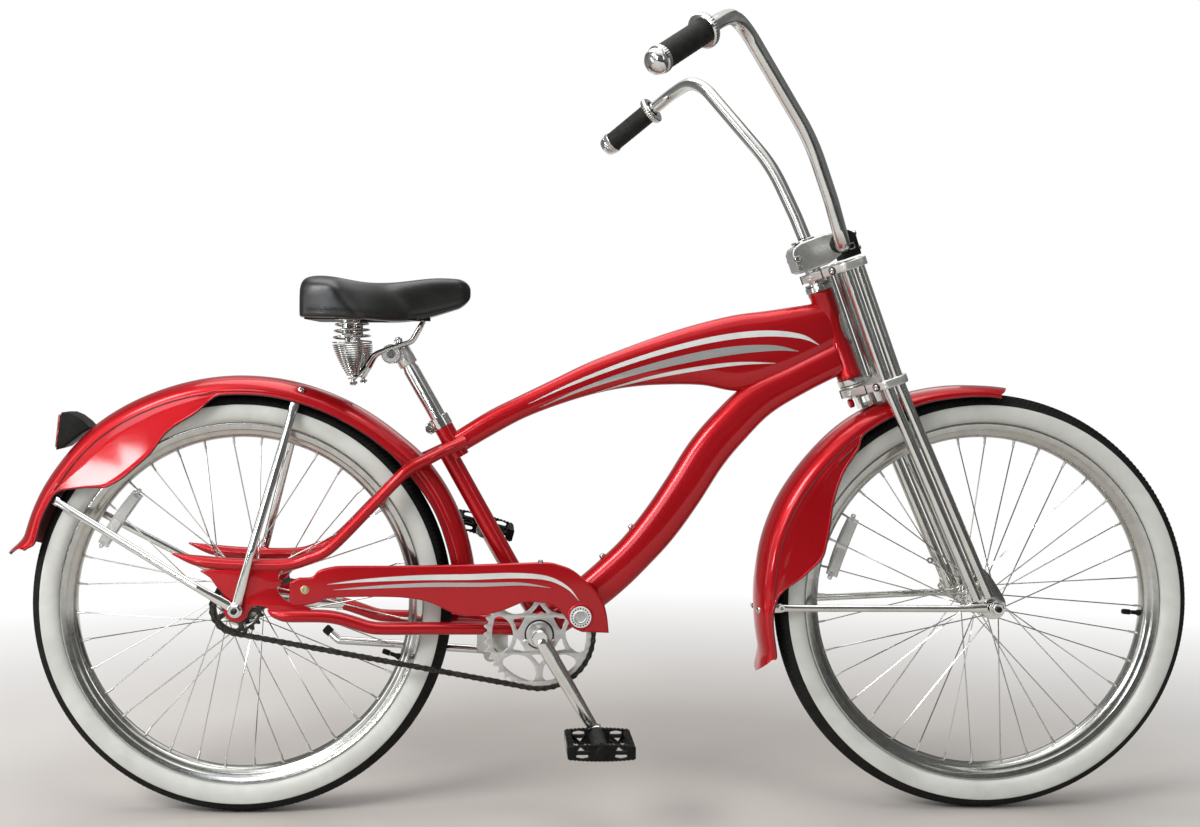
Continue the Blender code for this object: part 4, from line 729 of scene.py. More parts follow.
def make_reflector(prefix, axle, radius, turn):
    """A long clear moulding on the spokes, with two ribbed windows in its frame and a clip at each end."""
    out, along = polar(Vector(), 1, turn), polar(Vector(), 1, turn + math.pi / 2)
    centre = polar(axle, radius, turn, -4)
    shape = Shape("clear_lens", "ring_alloy", "mirror_cells")
    flat = axes_matrix(along, out, along.cross(out), centre)
    bow = [(x, 10 - 3 * (x / 49) ** 2) for x in (-49, -40, -24, -8, 8, 24, 40, 49)]
    outline = bow + [(x, -9 - (x / 49) ** 2) for x, _z in reversed(bow)]
    shape.add(slab(outline, 10, flat, edge=1.2, edge_steps=3), 0)
    for first, last in ((-44, -3), (3, 44)):
        window = hull(circle((first + 2, -5.8), 1.4, 10) + circle((last - 2, -5.8), 1.4, 10)
                      + circle((first + 2, 4.4), 1.4, 10) + circle((last - 2, 5.6), 1.4, 10))
        for side in (-1, 1):
            raised = flat.copy()
            raised.translation = centre + flat.col[2].to_3d() * (side * 5)
            shape.add(slab(window, 1.4, raised, edge=0.4), 2)
    for x in (-50, 50):
        clip = flat.copy()
        clip.translation = centre + along * x
        shape.add(slab(lozenge((-3, 0), (3, 0), 3.4, 14), 6.4, clip, edge=0.8))
        shape.add(lathe([(0, 3), (1.8, 3), (1.8, 4), (0, 4.2)], clip.translation, -LEFT, 12), 1)
    shape.make(f"{prefix}_reflector", f"{prefix}_wheel", "black_plastic", sharp=40)


def make_wheels():
    make_hub("front", FRONT_AXLE, math.radians(37.9), 34, -34, 22, 14, 48, 6.2)
    make_hub("rear", REAR_AXLE, math.radians(23.7), 36, -27, 33, 24, 41.2, 6.4)
    for prefix, axle in (("front", FRONT_AXLE), ("rear", REAR_AXLE)):
        make_tyre(prefix, axle)
        make_rim(prefix, axle)
    make_axle("front", FRONT_AXLE, "fork", 48.6, 56, 6)
    make_axle("rear", REAR_AXLE, "frame", 50.5, 54.8, 28)
    make_valve("front", FRONT_AXLE, math.radians(-4.8))
    make_valve("rear", REAR_AXLE, math.radians(-19.8))
    make_reflector("front", FRONT_AXLE, 240, math.radians(158.9))
    make_reflector("rear", REAR_AXLE, 236, math.radians(145.6))


make_wheels()


# Frame: top and bottom edges in the side view, with half the width
TOP_TUBE = [((333, 601), (349, 570), 15), ((388, 635), (404, 602), 15.5), ((434, 658), (450, 626), 16.5),
            ((492, 686), (508, 648), 17.5), ((550, 714), (566, 665), 18.5), ((608, 737), (620, 674.5), 19.5),
            ((666, 758), (676, 678), 20.5), ((725, 776), (732, 677), 21.3), ((783, 790), (794, 668), 21.8),
            ((842, 798), (862, 690), 22), ((925, 811), (944, 735), 18.5)]
DOWN_TUBE = [((938, 745), (956, 695), 20.5), ((870, 712), (900, 667), 22.5), ((800, 677), (842, 632), 23),
             ((750, 631), (799, 589), 23), ((711, 585), (764, 547), 23), ((676, 530), (726, 488), 23),
             ((643, 481), (687, 434), 22.8), ((605, 433), (648, 391), 22.5), ((570, 399), (606, 350), 22.2),
             ((527, 362), (558, 312), 22), ((478, 325), (496, 272), 21.5)]
TUBE_SIDES = 44
BADGE_S = -5
BADGE_HALF_HEIGHT = 31
DROPOUT_Y = 58
STAY_PATH = [at(x, -y, z) for x, y, z in (
    (352, 13, 588), (323, 26, 576), (294, 42, 562), (268, 51.5, 549), (246, 54.5, 530), (200, 54.5, 482),
    (144, 54.5, 426), (110, 54.5, 409), (75, 54.5, 400), (-1, 54.5, 400.5), (-58, 54.5, 405.5),
    (-100, 54.5, 417))]
STAY_RADII = [9.5] * (len(STAY_PATH) - 2) + [8.8, 1.4]
CHAINSTAY_PATH = [at(x, -y, z) for x, y, z in (
    (48, DROPOUT_Y, 329.8), (56, DROPOUT_Y, 325), (69, DROPOUT_Y, 321.8), (83, DROPOUT_Y, 320.7),
    (130, 56.5, 320), (155, 54.5, 316.5), (180, 52, 309), (205, 50, 301), (230, 47.5, 298.5),
    (300, 42.5, 297.5), (350, 36.5, 296), (400, 29, 294), (450, 22, 291))]
CHAINSTAY_RADII = [1.2, 5.8, 8.8] + [10] * (len(CHAINSTAY_PATH) - 3)
DROPOUT_OUTLINE = [(-50, 393), (-40, 380), (-31, 367), (-21, 355), (-18, 345), (-20, 331), (-16, 320),
                   (-7, 313), (7, 312), (14.5, 316.5), (18.5, 326), (26.5, 335.5), (40, 336), (52, 330),
                   (66, 322), (110, 320), (116, 328), (110, 335), (92, 339), (76, 345.5), (66, 355),
                   (62.5, 366), (63.5, 379), (69, 393)]


def fine_tube(stations):
    """A loft through the stations, with a smooth change from one to the next."""
    rings = []
    for x_top, z_top, x_low, z_low, half in spline([(*top, *low, half) for top, low, half in stations], 8):
        upper, lower = at(x_top, 0, z_top), at(x_low, 0, z_low)
        centre, arm = (upper + lower) / 2, (upper - lower) / 2
        ring = []
        for k in range(TUBE_SIDES):
            side, rise = power_curve(2 * math.pi * (k + 0.5) / TUBE_SIDES, 2.5)
            ring.append(centre + arm * rise + LEFT * (half * side))
        rings.append(ring)
    return rings_shell(rings)


def make_frame():
    """The head tube with its badge bulge, the main tubes, bracket shell, seat lug, binder and stays."""
    body = "frame"
    head = Shape("paint", "chrome")
    head.add(lathe([(19, 73), (19.8, 72.2), (19.8, 66.5), (19, 65.5), (19, -65.5), (19.8, -66.5),
                    (19.8, -74.2), (19, -75), (15.5, -75), (15.5, 73)], steer(0), -DOWN_STEER, 56))
    rings = []
    for scale, out in ((0.98, 18), (1, 19.6), (0.95, 20.4), (0.84, 20.8), (0.5, 21.3),
                       (0.16, 21.4)):
        ring = []
        for k in range(56):
            turn = 2 * math.pi * k / 56
            wrap = math.radians(66) * scale * math.cos(turn)
            ring.append(steer(BADGE_S - BADGE_HALF_HEIGHT * scale * math.sin(turn))
                        + FORE_STEER * (out * math.cos(wrap)) + LEFT * (out * math.sin(wrap)))
        rings.append(ring)
    head.add(rings_shell(rings), 1)
    head.make("head_tube_look", body, "paint", "head_tube", sharp=40)

    Shape("paint").add(fine_tube(TOP_TUBE)).make("top_tube_look", body, "paint", "top_tube", sharp=60)
    down = Shape("paint", "chrome").add(fine_tube(DOWN_TUBE))
    for x, z in ((573, 402), (619, 449)):
        root, end = at(x + 6, 0, z - 6), at(x - 3.5, 0, z + 3.5)
        axis = (end - root).normalized()
        down.add(lathe([(0, 0), (6.8, 0), (5.8, 8.5), (5.5, 10), (0, 10)], root, axis, 28))
        down.add(bolt(end - axis * 3, axis, 4.6, 3.4), 1)
    down.make("down_tube_look", body, "paint", "down_tube", sharp=50)

    shell = Shape("paint", "dark_steel")
    shell.add(lathe([(29, 33.2), (28.4, 34), (23.5, 34), (23.5, -34), (28.4, -34), (29, -33.2)],
                    BRACKET_AXIS, LEFT, 64))
    for sign in (-1, 1):
        shell.add(lathe([(24, 30), (24, 34.8), (21.5, 35.2), (13, 33.5), (11.4, 33.5), (11.4, 30)],
                        BRACKET_AXIS, LEFT * sign, 48), 1)
    shell.make("bracket_shell_look", body, "paint", "bottom_bracket_shell", sharp=40)

    lug = Shape("paint", "chrome")
    lug.add(lathe([(15.5, -72.5), (15.5, -18), (13.1, -18), (13.1, -72.5)], seat(0), UP_POST, 48))
    lug.add(lathe([(15.8, -17.8), (16.4, -17.2), (16.4, 0), (15.8, 0.6), (13.1, 0.6), (13.1, -17.8)],
                  seat(0), UP_POST, 48), 1)
    lug.add(rod(at(322, 0, 573), BRACKET_AXIS + UP * 20, 14.3, 40))
    for sign in (-1, 1):
        ear = [(-9, -14.5), (9, -14.5), (9, -22.5), (5, -25.5), (-5, -25.5), (-9, -22.5)]
        matrix = axes_matrix(UP_POST, FORE_POST, LEFT, seat(-10, 0, sign * 4.8))
        lug.add(slab(ear, 7.2, matrix, edge=0.8), 1)
    lug.make("seat_lug_look", body, "paint", "seat_tube", sharp=40)
    binder = Shape("chrome")
    centre = seat(-10, -21.5)
    binder.add(rod(centre - LEFT * 10, centre + LEFT * 10, 3))
    binder.add(bolt(centre - LEFT * 8.6, -LEFT, 5.5, 4.2))
    binder.add(hex_nut(centre + LEFT * 8.4, LEFT, 5.2, 4.5, 2.8))
    binder.add(lathe([(0, 0), (2.9, 0), (2.7, 6), (0, 6.2)], centre + LEFT * 8.4, LEFT, 18))
    binder.make("seat_binder_look", body, "chrome", "seat_binder_bolt")

    stay_line, stay_radii = tapered(STAY_PATH, STAY_RADII, 8)
    low_line, low_radii = tapered(CHAINSTAY_PATH, CHAINSTAY_RADII, 7)
    plate = spline(DROPOUT_OUTLINE[:-1], 3, closed=True)[:-2] + DROPOUT_OUTLINE[-1:]
    for side, sign in SIDES:
        if side == "left":
            stay_line, low_line = mirrored(stay_line), mirrored(low_line)
        stay = Shape("paint").add(sweep(stay_line, stay_radii, 28))
        stay.make(f"upper_stay_{side}_look", body, "paint", f"upper_stay_{side}", sharp=60)
        chainstay = Shape("paint").add(sweep(low_line, low_radii, 28))
        chainstay.add(slab(plate, 5.5, side_matrix(sign * DROPOUT_Y), [circle((0, AXLE_Z), 5.5, 24)], edge=1))
        chainstay.make(f"chainstay_{side}_look", body, "paint", f"chainstay_{side}", sharp=40)


make_frame()


# Fenders: angle round the wheel's centre in degrees, crown radius, edge radius
REAR_FENDER = [(168.4, 376.5, 345), (162, 360, 334.5), (155, 362, 338.2), (149, 363.5, 338.6),
               (143, 363.8, 309), (137, 364.7, 277.5), (130, 365.5, 270.8), (121, 363.8, 275.2),
               (112, 361.8, 296.3), (103, 360.8, 310), (94, 360.4, 334.3), (84, 360, 334.5),
               (73, 360, 334.5), (61, 361, 335), (49, 363.5, 337.5), (37, 370, 338), (25, 371.8, 341),
               (15, 372, 340), (5, 372, 340)]
FRONT_FENDER = [(197.5, 378, 350), (191, 364, 347.5), (184, 364, 346), (178, 365.2, 336), (171, 365.5, 298),
                (163, 366.5, 275.5), (155, 366.2, 281.6), (147, 364.4, 296.6), (138, 363, 312.8),
                (130.5, 362.8, 322.8), (126, 362, 338), (117, 358.5, 337.5), (108, 353.5, 337),
                (99, 349.3, 334), (90.5, 345.4, 332), (83, 344, 330)]
FENDER_HALF_WIDTH = 39
CROWN_HEIGHT = 24
FENDER_DRAFT = 2.5
CROWN_STEPS = 9
SKIRT_STEPS = 10
CREASE = 1.1
FENDER_WALL = 1.4
BEAD = 1.5
OUTER_STAY_Y = 67
MIDDLE_STAY_Y = 70.5


def limited(rows, steps):
    """Rows of (position, values...) filled in by a cubic that never runs past its own stations."""
    rows = [tuple(row) for row in rows]
    slopes = [[(b - a) / (last[0] - first[0]) for a, b in zip(first[1:], last[1:])]
              for first, last in zip(rows, rows[1:])]
    tangents = [slopes[0]]
    for before, after in zip(slopes, slopes[1:]):
        tangents.append([0 if a * b <= 0 else 2 * a * b / (a + b) for a, b in zip(before, after)])
    tangents.append(slopes[-1])
    made = []
    for k, (first, last) in enumerate(zip(rows, rows[1:])):
        span = last[0] - first[0]
        for step in range(steps):
            t = step / steps
            values = []
            for a, b, ta, tb in zip(first[1:], last[1:], tangents[k], tangents[k + 1]):
                values.append((2 * t ** 3 - 3 * t ** 2 + 1) * a + (t ** 3 - 2 * t ** 2 + t) * span * ta
                              + (3 * t ** 2 - 2 * t ** 3) * b + (t ** 3 - t ** 2) * span * tb)
            made.append((first[0] + span * t, *values))
    made.append(rows[-1])
    return made


def make_fender(name, body, axle, stations, front_lag, rib, tail_lag=3.2):
    """A fender's sheet with its crown crease, skirts, ribs and the bead along its edge, then given thickness.

    rib holds the first and last angle between which the skirt has its raised line.
    """
    lags = [tail_lag] + [0] * (len(stations) - 2) + [front_lag]
    outer, inner = [], []
    for angle, crown, edge, lag in limited([(*row, lag) for row, lag in zip(stations, lags)], 7):
        depth = min(CROWN_HEIGHT, crown - edge - 2)
        side = crown - depth
        skirt = side - edge
        share_in = min(max((angle - rib[0]) / 8, 0), 1) * min(max((rib[1] - angle) / 5, 0), 1)
        half = []
        for step in range(CROWN_STEPS + 1):
            bow = math.radians(90 * step / CROWN_STEPS)
            half.append((crown - depth * (1 - math.cos(bow)), FENDER_HALF_WIDTH * math.sin(bow),
                         step / CROWN_STEPS))
        crease_y = FENDER_HALF_WIDTH - CREASE * min(skirt / 12, 1)
        half += [(side - 1, crease_y, 1), (side - 2.2, crease_y, 1)]
        for step in range(1, SKIRT_STEPS + 1):
            drop = 3.4 + max(skirt - 3.4, 0.2) * step / SKIRT_STEPS
            raised = math.exp(-((drop - 9.5) / 1.6) ** 2) * 1.3 * share_in
            half.append((side - drop, FENDER_HALF_WIDTH + FENDER_DRAFT * min(drop / 70, 1) + raised, 1))
        radius, y, _full = half[-1]
        for bend in map(math.radians, (40, 90, 140, 200, 260)):
            half.append((radius - BEAD * math.sin(bend) * 0.9, y + BEAD * (1 - math.cos(bend)) * 0.55, 1))
        outer.append([polar(axle, radius, math.radians(angle - lag * spread), sign * y)
                      for sign, part in ((-1, half[::-1]), (1, half[1:])) for radius, y, spread in part])
    for row in outer:
        radial = ((row[0] + row[-1]) / 2 - axle).normalized()
        line = []
        for k, place in enumerate(row):
            along = (row[min(k + 1, len(row) - 1)] - row[max(k - 1, 0)]).normalized()
            inward = along.cross(LEFT.cross(radial)).normalized()
            rise = inward.dot(radial)
            if rise > 0.2 or (abs(rise) <= 0.2 and inward.y * place.y > 0):
                inward = -inward
            line.append(place + inward * FENDER_WALL)
        inner.append(line)
    count, total = len(outer[0]), len(outer) * len(outer[0])
    faces, which = [], []
    for row in range(0, total - count, count):
        for a in range(row, row + count - 1):
            b = a + count
            faces += [[a, a + 1, b + 1, b], [total + a, total + b, total + b + 1, total + a + 1]]
            which += [0, 1]
        for a, way in ((row, 1), (row + count - 1, -1)):
            faces.append([a, a + count, total + a + count, total + a][::way])
            which.append(0)
    for row, way in ((0, -1), (total - count, 1)):
        for a in range(row, row + count - 1):
            faces.append([a, a + 1, total + a + 1, total + a][::way])
            which.append(0)
    verts = [v for row in outer + inner for v in row]
    # The inner faces take the darker red: painted shade under the fender.
    shape = Shape("paint", "paint_inside").add((verts, faces), which)
    shape.make(f"{name}_look", body, "paint", name, sharp=48)


def make_stay(name, body, axle_place, bend, foot, wide):
    """A chrome fender stay: an oval tube flattened to an eye at the axle and to a sole under the fender."""
    heading, foot_heading = (bend - axle_place).normalized(), (foot - bend).normalized()
    points = rounded([axle_place + heading * 10, bend, foot], [(30, 5)])
    line = [points[0].lerp(points[1], share) for share in (0, 0.35, 0.7)] + points[1:-1]
    line += [points[-2].lerp(foot, share) for share in (0.5, 0.8, 0.9, 0.945, 0.97, 1)]
    radii = [(1.5, 7.2), (2.6, 7.4), (3.6, wide)] + [(3.8, wide)] * (len(line) - 8)
    radii += [(3.8, wide), (3.4, wide), (2.6, wide), (1.9, 6.4), (1.6, 6.8)]
    shape = Shape("chrome").add(sweep(line, radii, 20, LEFT))
    eye = hull(circle((0, 0), 8.8, 28) + [(19, 4.6), (19, -4.6)])
    matrix = axes_matrix(heading, LEFT.cross(heading), LEFT, axle_place)
    shape.add(slab(eye, 2.4, matrix, [circle((0, 0), 5.4, 24)], edge=0.6))
    across = foot_heading.cross(LEFT).normalized()
    out = across.cross(foot_heading)
    matrix = axes_matrix(foot_heading, across, -out, foot)
    shape.add(slab(lozenge((-7.5, 0), (10, 0), 7, 16), 2.4, matrix, edge=0.5))
    if out.y * foot.y < 0:
        out = -out
    shape.add(bolt(foot + foot_heading * 8 + out * 1.2, out, 4.4, 3))
    shape.make(f"{name}_look", body, "chrome", name, sharp=38)


def crown_place(axle, crown, depth, angle, y):
    """The place y to the left on a fender's crown, and how far the crown has bowed there."""
    bow = math.asin(y / FENDER_HALF_WIDTH)
    return polar(axle, crown - depth * (1 - math.cos(bow)), angle, y), bow


def make_fenders():
    """Both fenders, their six stays and their screws, and the tail reflector on its housing."""
    make_fender("rear_fender", "frame", REAR_AXLE, REAR_FENDER, 0, (200, 201))
    make_fender("front_fender", "fork", FRONT_AXLE, FRONT_FENDER, -3.6, (126, 176))
    screws = {"rear": Shape("chrome"), "front": Shape("chrome")}
    for side, sign in SIDES:
        outer, middle, foot_y = sign * OUTER_STAY_Y, sign * MIDDLE_STAY_Y, sign * 33
        make_stay(f"rear_fender_stay_{side}", "frame", at(0, outer, AXLE_Z), at(-60, outer, 367.3),
                  at(-290.5, sign * 32.5, 499), 6.2)
        make_stay(f"middle_fender_stay_{side}", "frame", at(0, middle, AXLE_Z), at(24.5, middle, 422.5),
                  at(86, foot_y, 648), 6.6)
        make_stay(f"front_fender_stay_{side}", "fork", at(WHEELBASE, outer, AXLE_Z),
                  at(WHEELBASE - 60, outer, 330.9), at(844, foot_y, 325.5), 5.5)
        turn = math.radians(74)
        place, bow = crown_place(REAR_AXLE, 360, CROWN_HEIGHT, turn, sign * 30)
        out = (polar(Vector(), math.cos(bow) / CROWN_HEIGHT,
                     turn) + LEFT * (math.sin(bow) / FENDER_HALF_WIDTH))
        screws["rear"].add(bolt(place, out.normalized(), 4.2, 2.6, washer=6.2))
        place, bow = crown_place(FRONT_AXLE, 364.5, 20.5, math.radians(181.8), sign * 22.5)
        screws["front"].add(bolt(place, Vector((-0.8, sign * 0.6, 0)), 4.4, 3, socket=False, washer=6))
        screws["front"].add(hex_nut(polar(FRONT_AXLE, 329, math.radians(180.9), sign * 38.5), LEFT * sign,
                                    5.8, 5, 3))
    screws["rear"].make("rear_fender_screws", "frame", "chrome")
    screws["front"].make("front_fender_screws", "fork", "chrome")

    housing = Shape("black_plastic", "red_lens")
    face, foot = Vector((-284, 634)), Vector((-290, 575))
    outline = [(-281.5, 634), foot, (-277, 579), (-250, 602), (-237, 610), (-245, 619), (-258, 629),
               (-270, 634)]
    housing.add(slab(outline, 44, side_matrix(0), edge=2.4, edge_steps=4))
    lens_line = (face - foot).normalized()
    back = Vector((-lens_line.y, lens_line.x))
    middle = (face + foot) / 2 + back * 0.6
    matrix = axes_matrix(Vector((lens_line.x, 0, lens_line.y)), LEFT, Vector((back.x, 0, back.y)),
                         at(middle.x, 0, middle.y))
    lens = hull([point for x in (-26.5, 26.5) for y in (-18.5, 18.5)
                 for point in circle((x * 0.86, y * 0.84), 3.6, 12)])
    housing.add(slab(lens, 4.2, matrix, edge=1.2), 1)
    housing.make("tail_reflector_look", "frame", "black_plastic", "tail_reflector", sharp=40)


make_fenders()


# Drive
CHAINRING_TEETH = 42
SPROCKET_TEETH = 20
CRANK_LENGTH = 170
CRANK_ANGLE = math.radians(30.7)
CRANK_ARM_Y = 75.5
PEDAL_EYE_Y = 79
PEDAL_Y = 133.5
LEFT_PEDAL_TIP = math.radians(15)
LENS_RIM_RADIUS = 73.8
LENS_INNER = [(62.5, 28.6), (56.1, 26.2), (46.5, 17.3), (41, 0)]
SMALL_WINDOW = [(46.5, 0), (40, 5.6), (33, 11.5), (31.8, 0)]


def pitch_radius(teeth):
    return PITCH / (2 * math.sin(math.pi / teeth))


def toothed(teeth):
    """The outline of a sprocket: a round seat for each roller, and a tapered tooth between each two."""
    middle = pitch_radius(teeth)
    seat_radius, tip = 3.5, 2.2
    outline = []
    for k in range(teeth):
        for share in (-0.5, -0.42, -0.34, -0.27, -0.19, -0.13, -0.06, 0.06, 0.13, 0.19, 0.27, 0.34, 0.42):
            off = (0.5 - abs(share)) * 2 * math.pi / teeth
            reach = middle * math.sin(off)
            if abs(share) >= 0.27:
                radius = middle * math.cos(off) - math.sqrt(seat_radius ** 2 - reach ** 2)
            else:
                rise = (0.27 - abs(share)) / 0.21
                radius = middle - 1.7 + (tip + 1.7) * min(rise, 1) ** 0.75
            turn = 2 * math.pi * (k + share) / teeth
            outline.append((radius * math.cos(turn), radius * math.sin(turn)))
    return outline


def arc(radius, degrees):
    """Flat places on a circle about the origin."""
    return [(radius * math.cos(turn), radius * math.sin(turn)) for turn in map(math.radians, degrees)]


def chainring_windows():
    lens = [*arc(LENS_RIM_RADIUS, (-20, -13, -7, 0, 7, 13, 20)), *LENS_INNER,
            *((x, -y) for x, y in LENS_INNER[-2::-1])]
    small = SMALL_WINDOW + [(x, -y) for x, y in SMALL_WINDOW[-2:0:-1]]
    windows = []
    for k in range(12):
        turn = Matrix.Rotation(math.radians(30 * k), 2)
        shape = spline(small, 3, closed=True) if k % 2 else spline(lens, 4, closed=True)
        windows.append([tuple(turn @ Vector(point)) for point in shape])
    return windows


def chain_line():
    """The pitch line as pieces of (length, place for a distance along it)."""
    small, large = pitch_radius(SPROCKET_TEETH), pitch_radius(CHAINRING_TEETH)
    rear, front = Vector((0, AXLE_Z)), Vector(BRACKET)
    line = front - rear
    heading = math.atan2(line.y, line.x)
    spread = math.acos((large - small) / line.length)
    upper, lower = heading + math.pi - spread, heading + math.pi + spread

    def out(turn):
        return Vector((math.cos(turn), math.sin(turn)))

    def bend(centre, radius, first):
        return lambda distance: centre + out(first + distance / radius) * radius

    def straight(start, end):
        step = (end - start).normalized()
        return lambda distance: start + step * distance
    tangent = math.sqrt(line.length ** 2 - (large - small) ** 2)
    return [(large * (upper - lower + 2 * math.pi), bend(front, large, lower)),
            (tangent, straight(front + out(upper) * large, rear + out(upper) * small)),
            (small * (lower - upper), bend(rear, small, upper)),
            (tangent, straight(rear + out(lower) * small, front + out(lower) * large))]


def chain_pins():
    pieces = chain_line()
    total = sum(length for length, _place in pieces)
    count = 2 * round(total / PITCH / 2)
    pins = []
    for k in range(count):
        distance = total * k / count
        for length, place in pieces:
            if distance <= length:
                break
            distance -= length
        pins.append(place(distance))
    return pins


def make_chain():
    """The chain's inner and outer links with their rollers and pins."""
    pins = chain_pins()
    shape = Shape("dark_steel")
    for k, (first, last) in enumerate(zip(pins, pins[1:] + pins[:1])):
        middle, along = (first + last) / 2, (last - first)
        half = along.length / 2
        forward = Vector((along.x, 0, along.y)).normalized()
        outline = []
        for sign in (1, -1):
            outline += [(sign * (half + x), sign * z) for x, z in arc(4.1, range(-110, 111, 22))]
            outline.append((0, sign * 3.1))
        spread = 3.1 if k % 2 else 2.1
        for side in (-1, 1):
            matrix = axes_matrix(forward, LEFT.cross(forward), LEFT,
                                 at(middle.x, CHAIN_Y + side * spread, middle.y))
            rings = [[matrix @ Vector((x, y, z)) for x, y in outline] for z in (-0.45, 0.45)]
            shape.add(rings_shell(rings))
        pin = at(first.x, CHAIN_Y, first.y)
        shape.add(rod(pin - LEFT * 4, pin + LEFT * 4, 1.7, 10))
        shape.add(rod(pin - LEFT * 1.6, pin + LEFT * 1.6, 3.8, 14))
    shape.make("chain_look", "frame", "dark_steel", "chain", sharp=35)


def make_drive():
    """The chainring, rear sprocket, chain, bearing ring, crank and pedals."""
    ring_centre, cog_centre = BRACKET_AXIS + LEFT * CHAIN_Y, REAR_AXLE + LEFT * CHAIN_Y
    disc = axes_matrix(FORWARD, UP, -LEFT, ring_centre)
    ring = Shape("ring_alloy", "dark_steel")
    ring.add(slab(toothed(CHAINRING_TEETH), 3, disc, [*chainring_windows(), circle((0, 0), 11.4, 40)],
                  edge=0.4))
    for turn in (math.radians(210), math.radians(330)):
        stud = polar(BRACKET_AXIS, 24.5, turn, CHAIN_Y - 1.5)
        ring.add(lathe([(0, -1), (4.5, -1), (4.5, 2), (3.8, 2.6), (0, 2.6)], stud, -LEFT, 20))
    face = BRACKET_AXIS + LEFT * (CHAIN_Y - 1.3)
    ring.add(lathe([(10.8, 0), (20.6, 0), (20.6, 2.6), (19.8, 3.4), (15, 4), (10.8, 4)], face, -LEFT, 56))
    ring.add(lathe([(20.4, 0), (23.2, 0), (23.2, 0.6), (20.4, 0.6)], face, -LEFT, 56), 1)
    ring.make("chainring_look", "crankset", "chrome", "chainring", sharp=35)
    disc = axes_matrix(FORWARD, UP, -LEFT, cog_centre)
    cog = Shape("dark_steel")
    openings = []
    for first in range(0, 360, 72):
        openings.append(arc(33, range(first, first + 57, 4)) + arc(22.5, range(first + 56, first - 1, -4)))
    cog.add(slab(toothed(SPROCKET_TEETH), 3, disc, [circle((0, 0), 6.4, 30), *openings], edge=0.4))
    cog.add(lathe([(22.2, 1), (22.2, 3.4), (21, 4), (18, 3.6), (18, 1)], cog_centre, LEFT, 48))
    cog.make("rear_sprocket_look", "sprocket", "dark_steel", "rear_sprocket", sharp=35)
    make_chain()
    bearing = Shape("chrome", "dark_steel")
    bearing.add(lathe([(19, 5.5), (19, -1), (18, -2.2), (18, -4.5), (16.5, -5.5), (11.2, -5.5), (11.2, 5.5)],
                      BRACKET_AXIS - LEFT * 40.2, LEFT, 48))
    bearing.make("bearing_ring_look", "frame", "chrome", "crank_bearing_ring", sharp=35)

    along = Vector((math.sin(CRANK_ANGLE), 0, -math.cos(CRANK_ANGLE)))
    arm, eye_out, arm_out = along * CRANK_LENGTH, LEFT * PEDAL_EYE_Y, LEFT * CRANK_ARM_Y
    corners = [BRACKET_AXIS + arm - eye_out, BRACKET_AXIS - arm_out, BRACKET_AXIS + arm_out,
               BRACKET_AXIS - arm + eye_out]
    path = rounded(corners, [(10, 12)] * 2)
    path = ([path[0].lerp(path[1], k / 8) for k in range(8)] + path[1:-1]
            + [path[-2].lerp(path[-1], k / 8) for k in range(1, 9)])
    radii = []
    for place in path:
        share = min(abs((place - BRACKET_AXIS).dot(along)) / CRANK_LENGTH, 1)
        flat = min(share / 0.12, 1)
        radii.append((10.3 - 2.4 * flat, 10.3 + flat * (2.4 - 3.8 * share)))
    crank = Shape("chrome", "dark_steel").add(sweep(path, radii, 28, LEFT, 2.7))
    for sign in (-1, 1):
        eye = BRACKET_AXIS - along * (sign * CRANK_LENGTH) + LEFT * (sign * PEDAL_EYE_Y)
        crank.add(lathe([(0, -8.5), (12.5, -8.5), (13.5, -7.5), (13.5, 7.5), (12.5, 8.5), (0, 8.5)], eye,
                        LEFT, 36))
        crank.add(lathe([(0, 0), (8.2, 0), (8.2, 14.5), (6.6, 15.5), (5.8, 16.5), (5.8, 86), (0, 86)], eye,
                        LEFT * sign, 28), 1)
        crank.add(hex_nut(eye + LEFT * sign * 9, LEFT * sign, 7.6, 4.2, 5.5), 1)
        head = BRACKET_AXIS + LEFT * (sign * CRANK_ARM_Y)
        crank.add(lathe([(0, -7.4), (11.2, -7.4), (12.8, -5.6), (12.8, 5.6), (11.2, 7.4), (0, 7.4)], head,
                        LEFT, 36))
    crank.make("crank_look", "crankset", "chrome", "crank", sharp=40)
    for side, sign in SIDES:
        eye = BRACKET_AXIS - along * (sign * CRANK_LENGTH) + LEFT * (sign * PEDAL_Y)
        make_pedal(side, eye, LEFT_PEDAL_TIP if side == "left" else 0)


PEDAL_TEETH = 16
PEDAL_PLATE_Y = 40.5
PEDAL_BAR_X = 45
PEDAL_SLOT_X = 28.5
PEDAL_END_X = 50


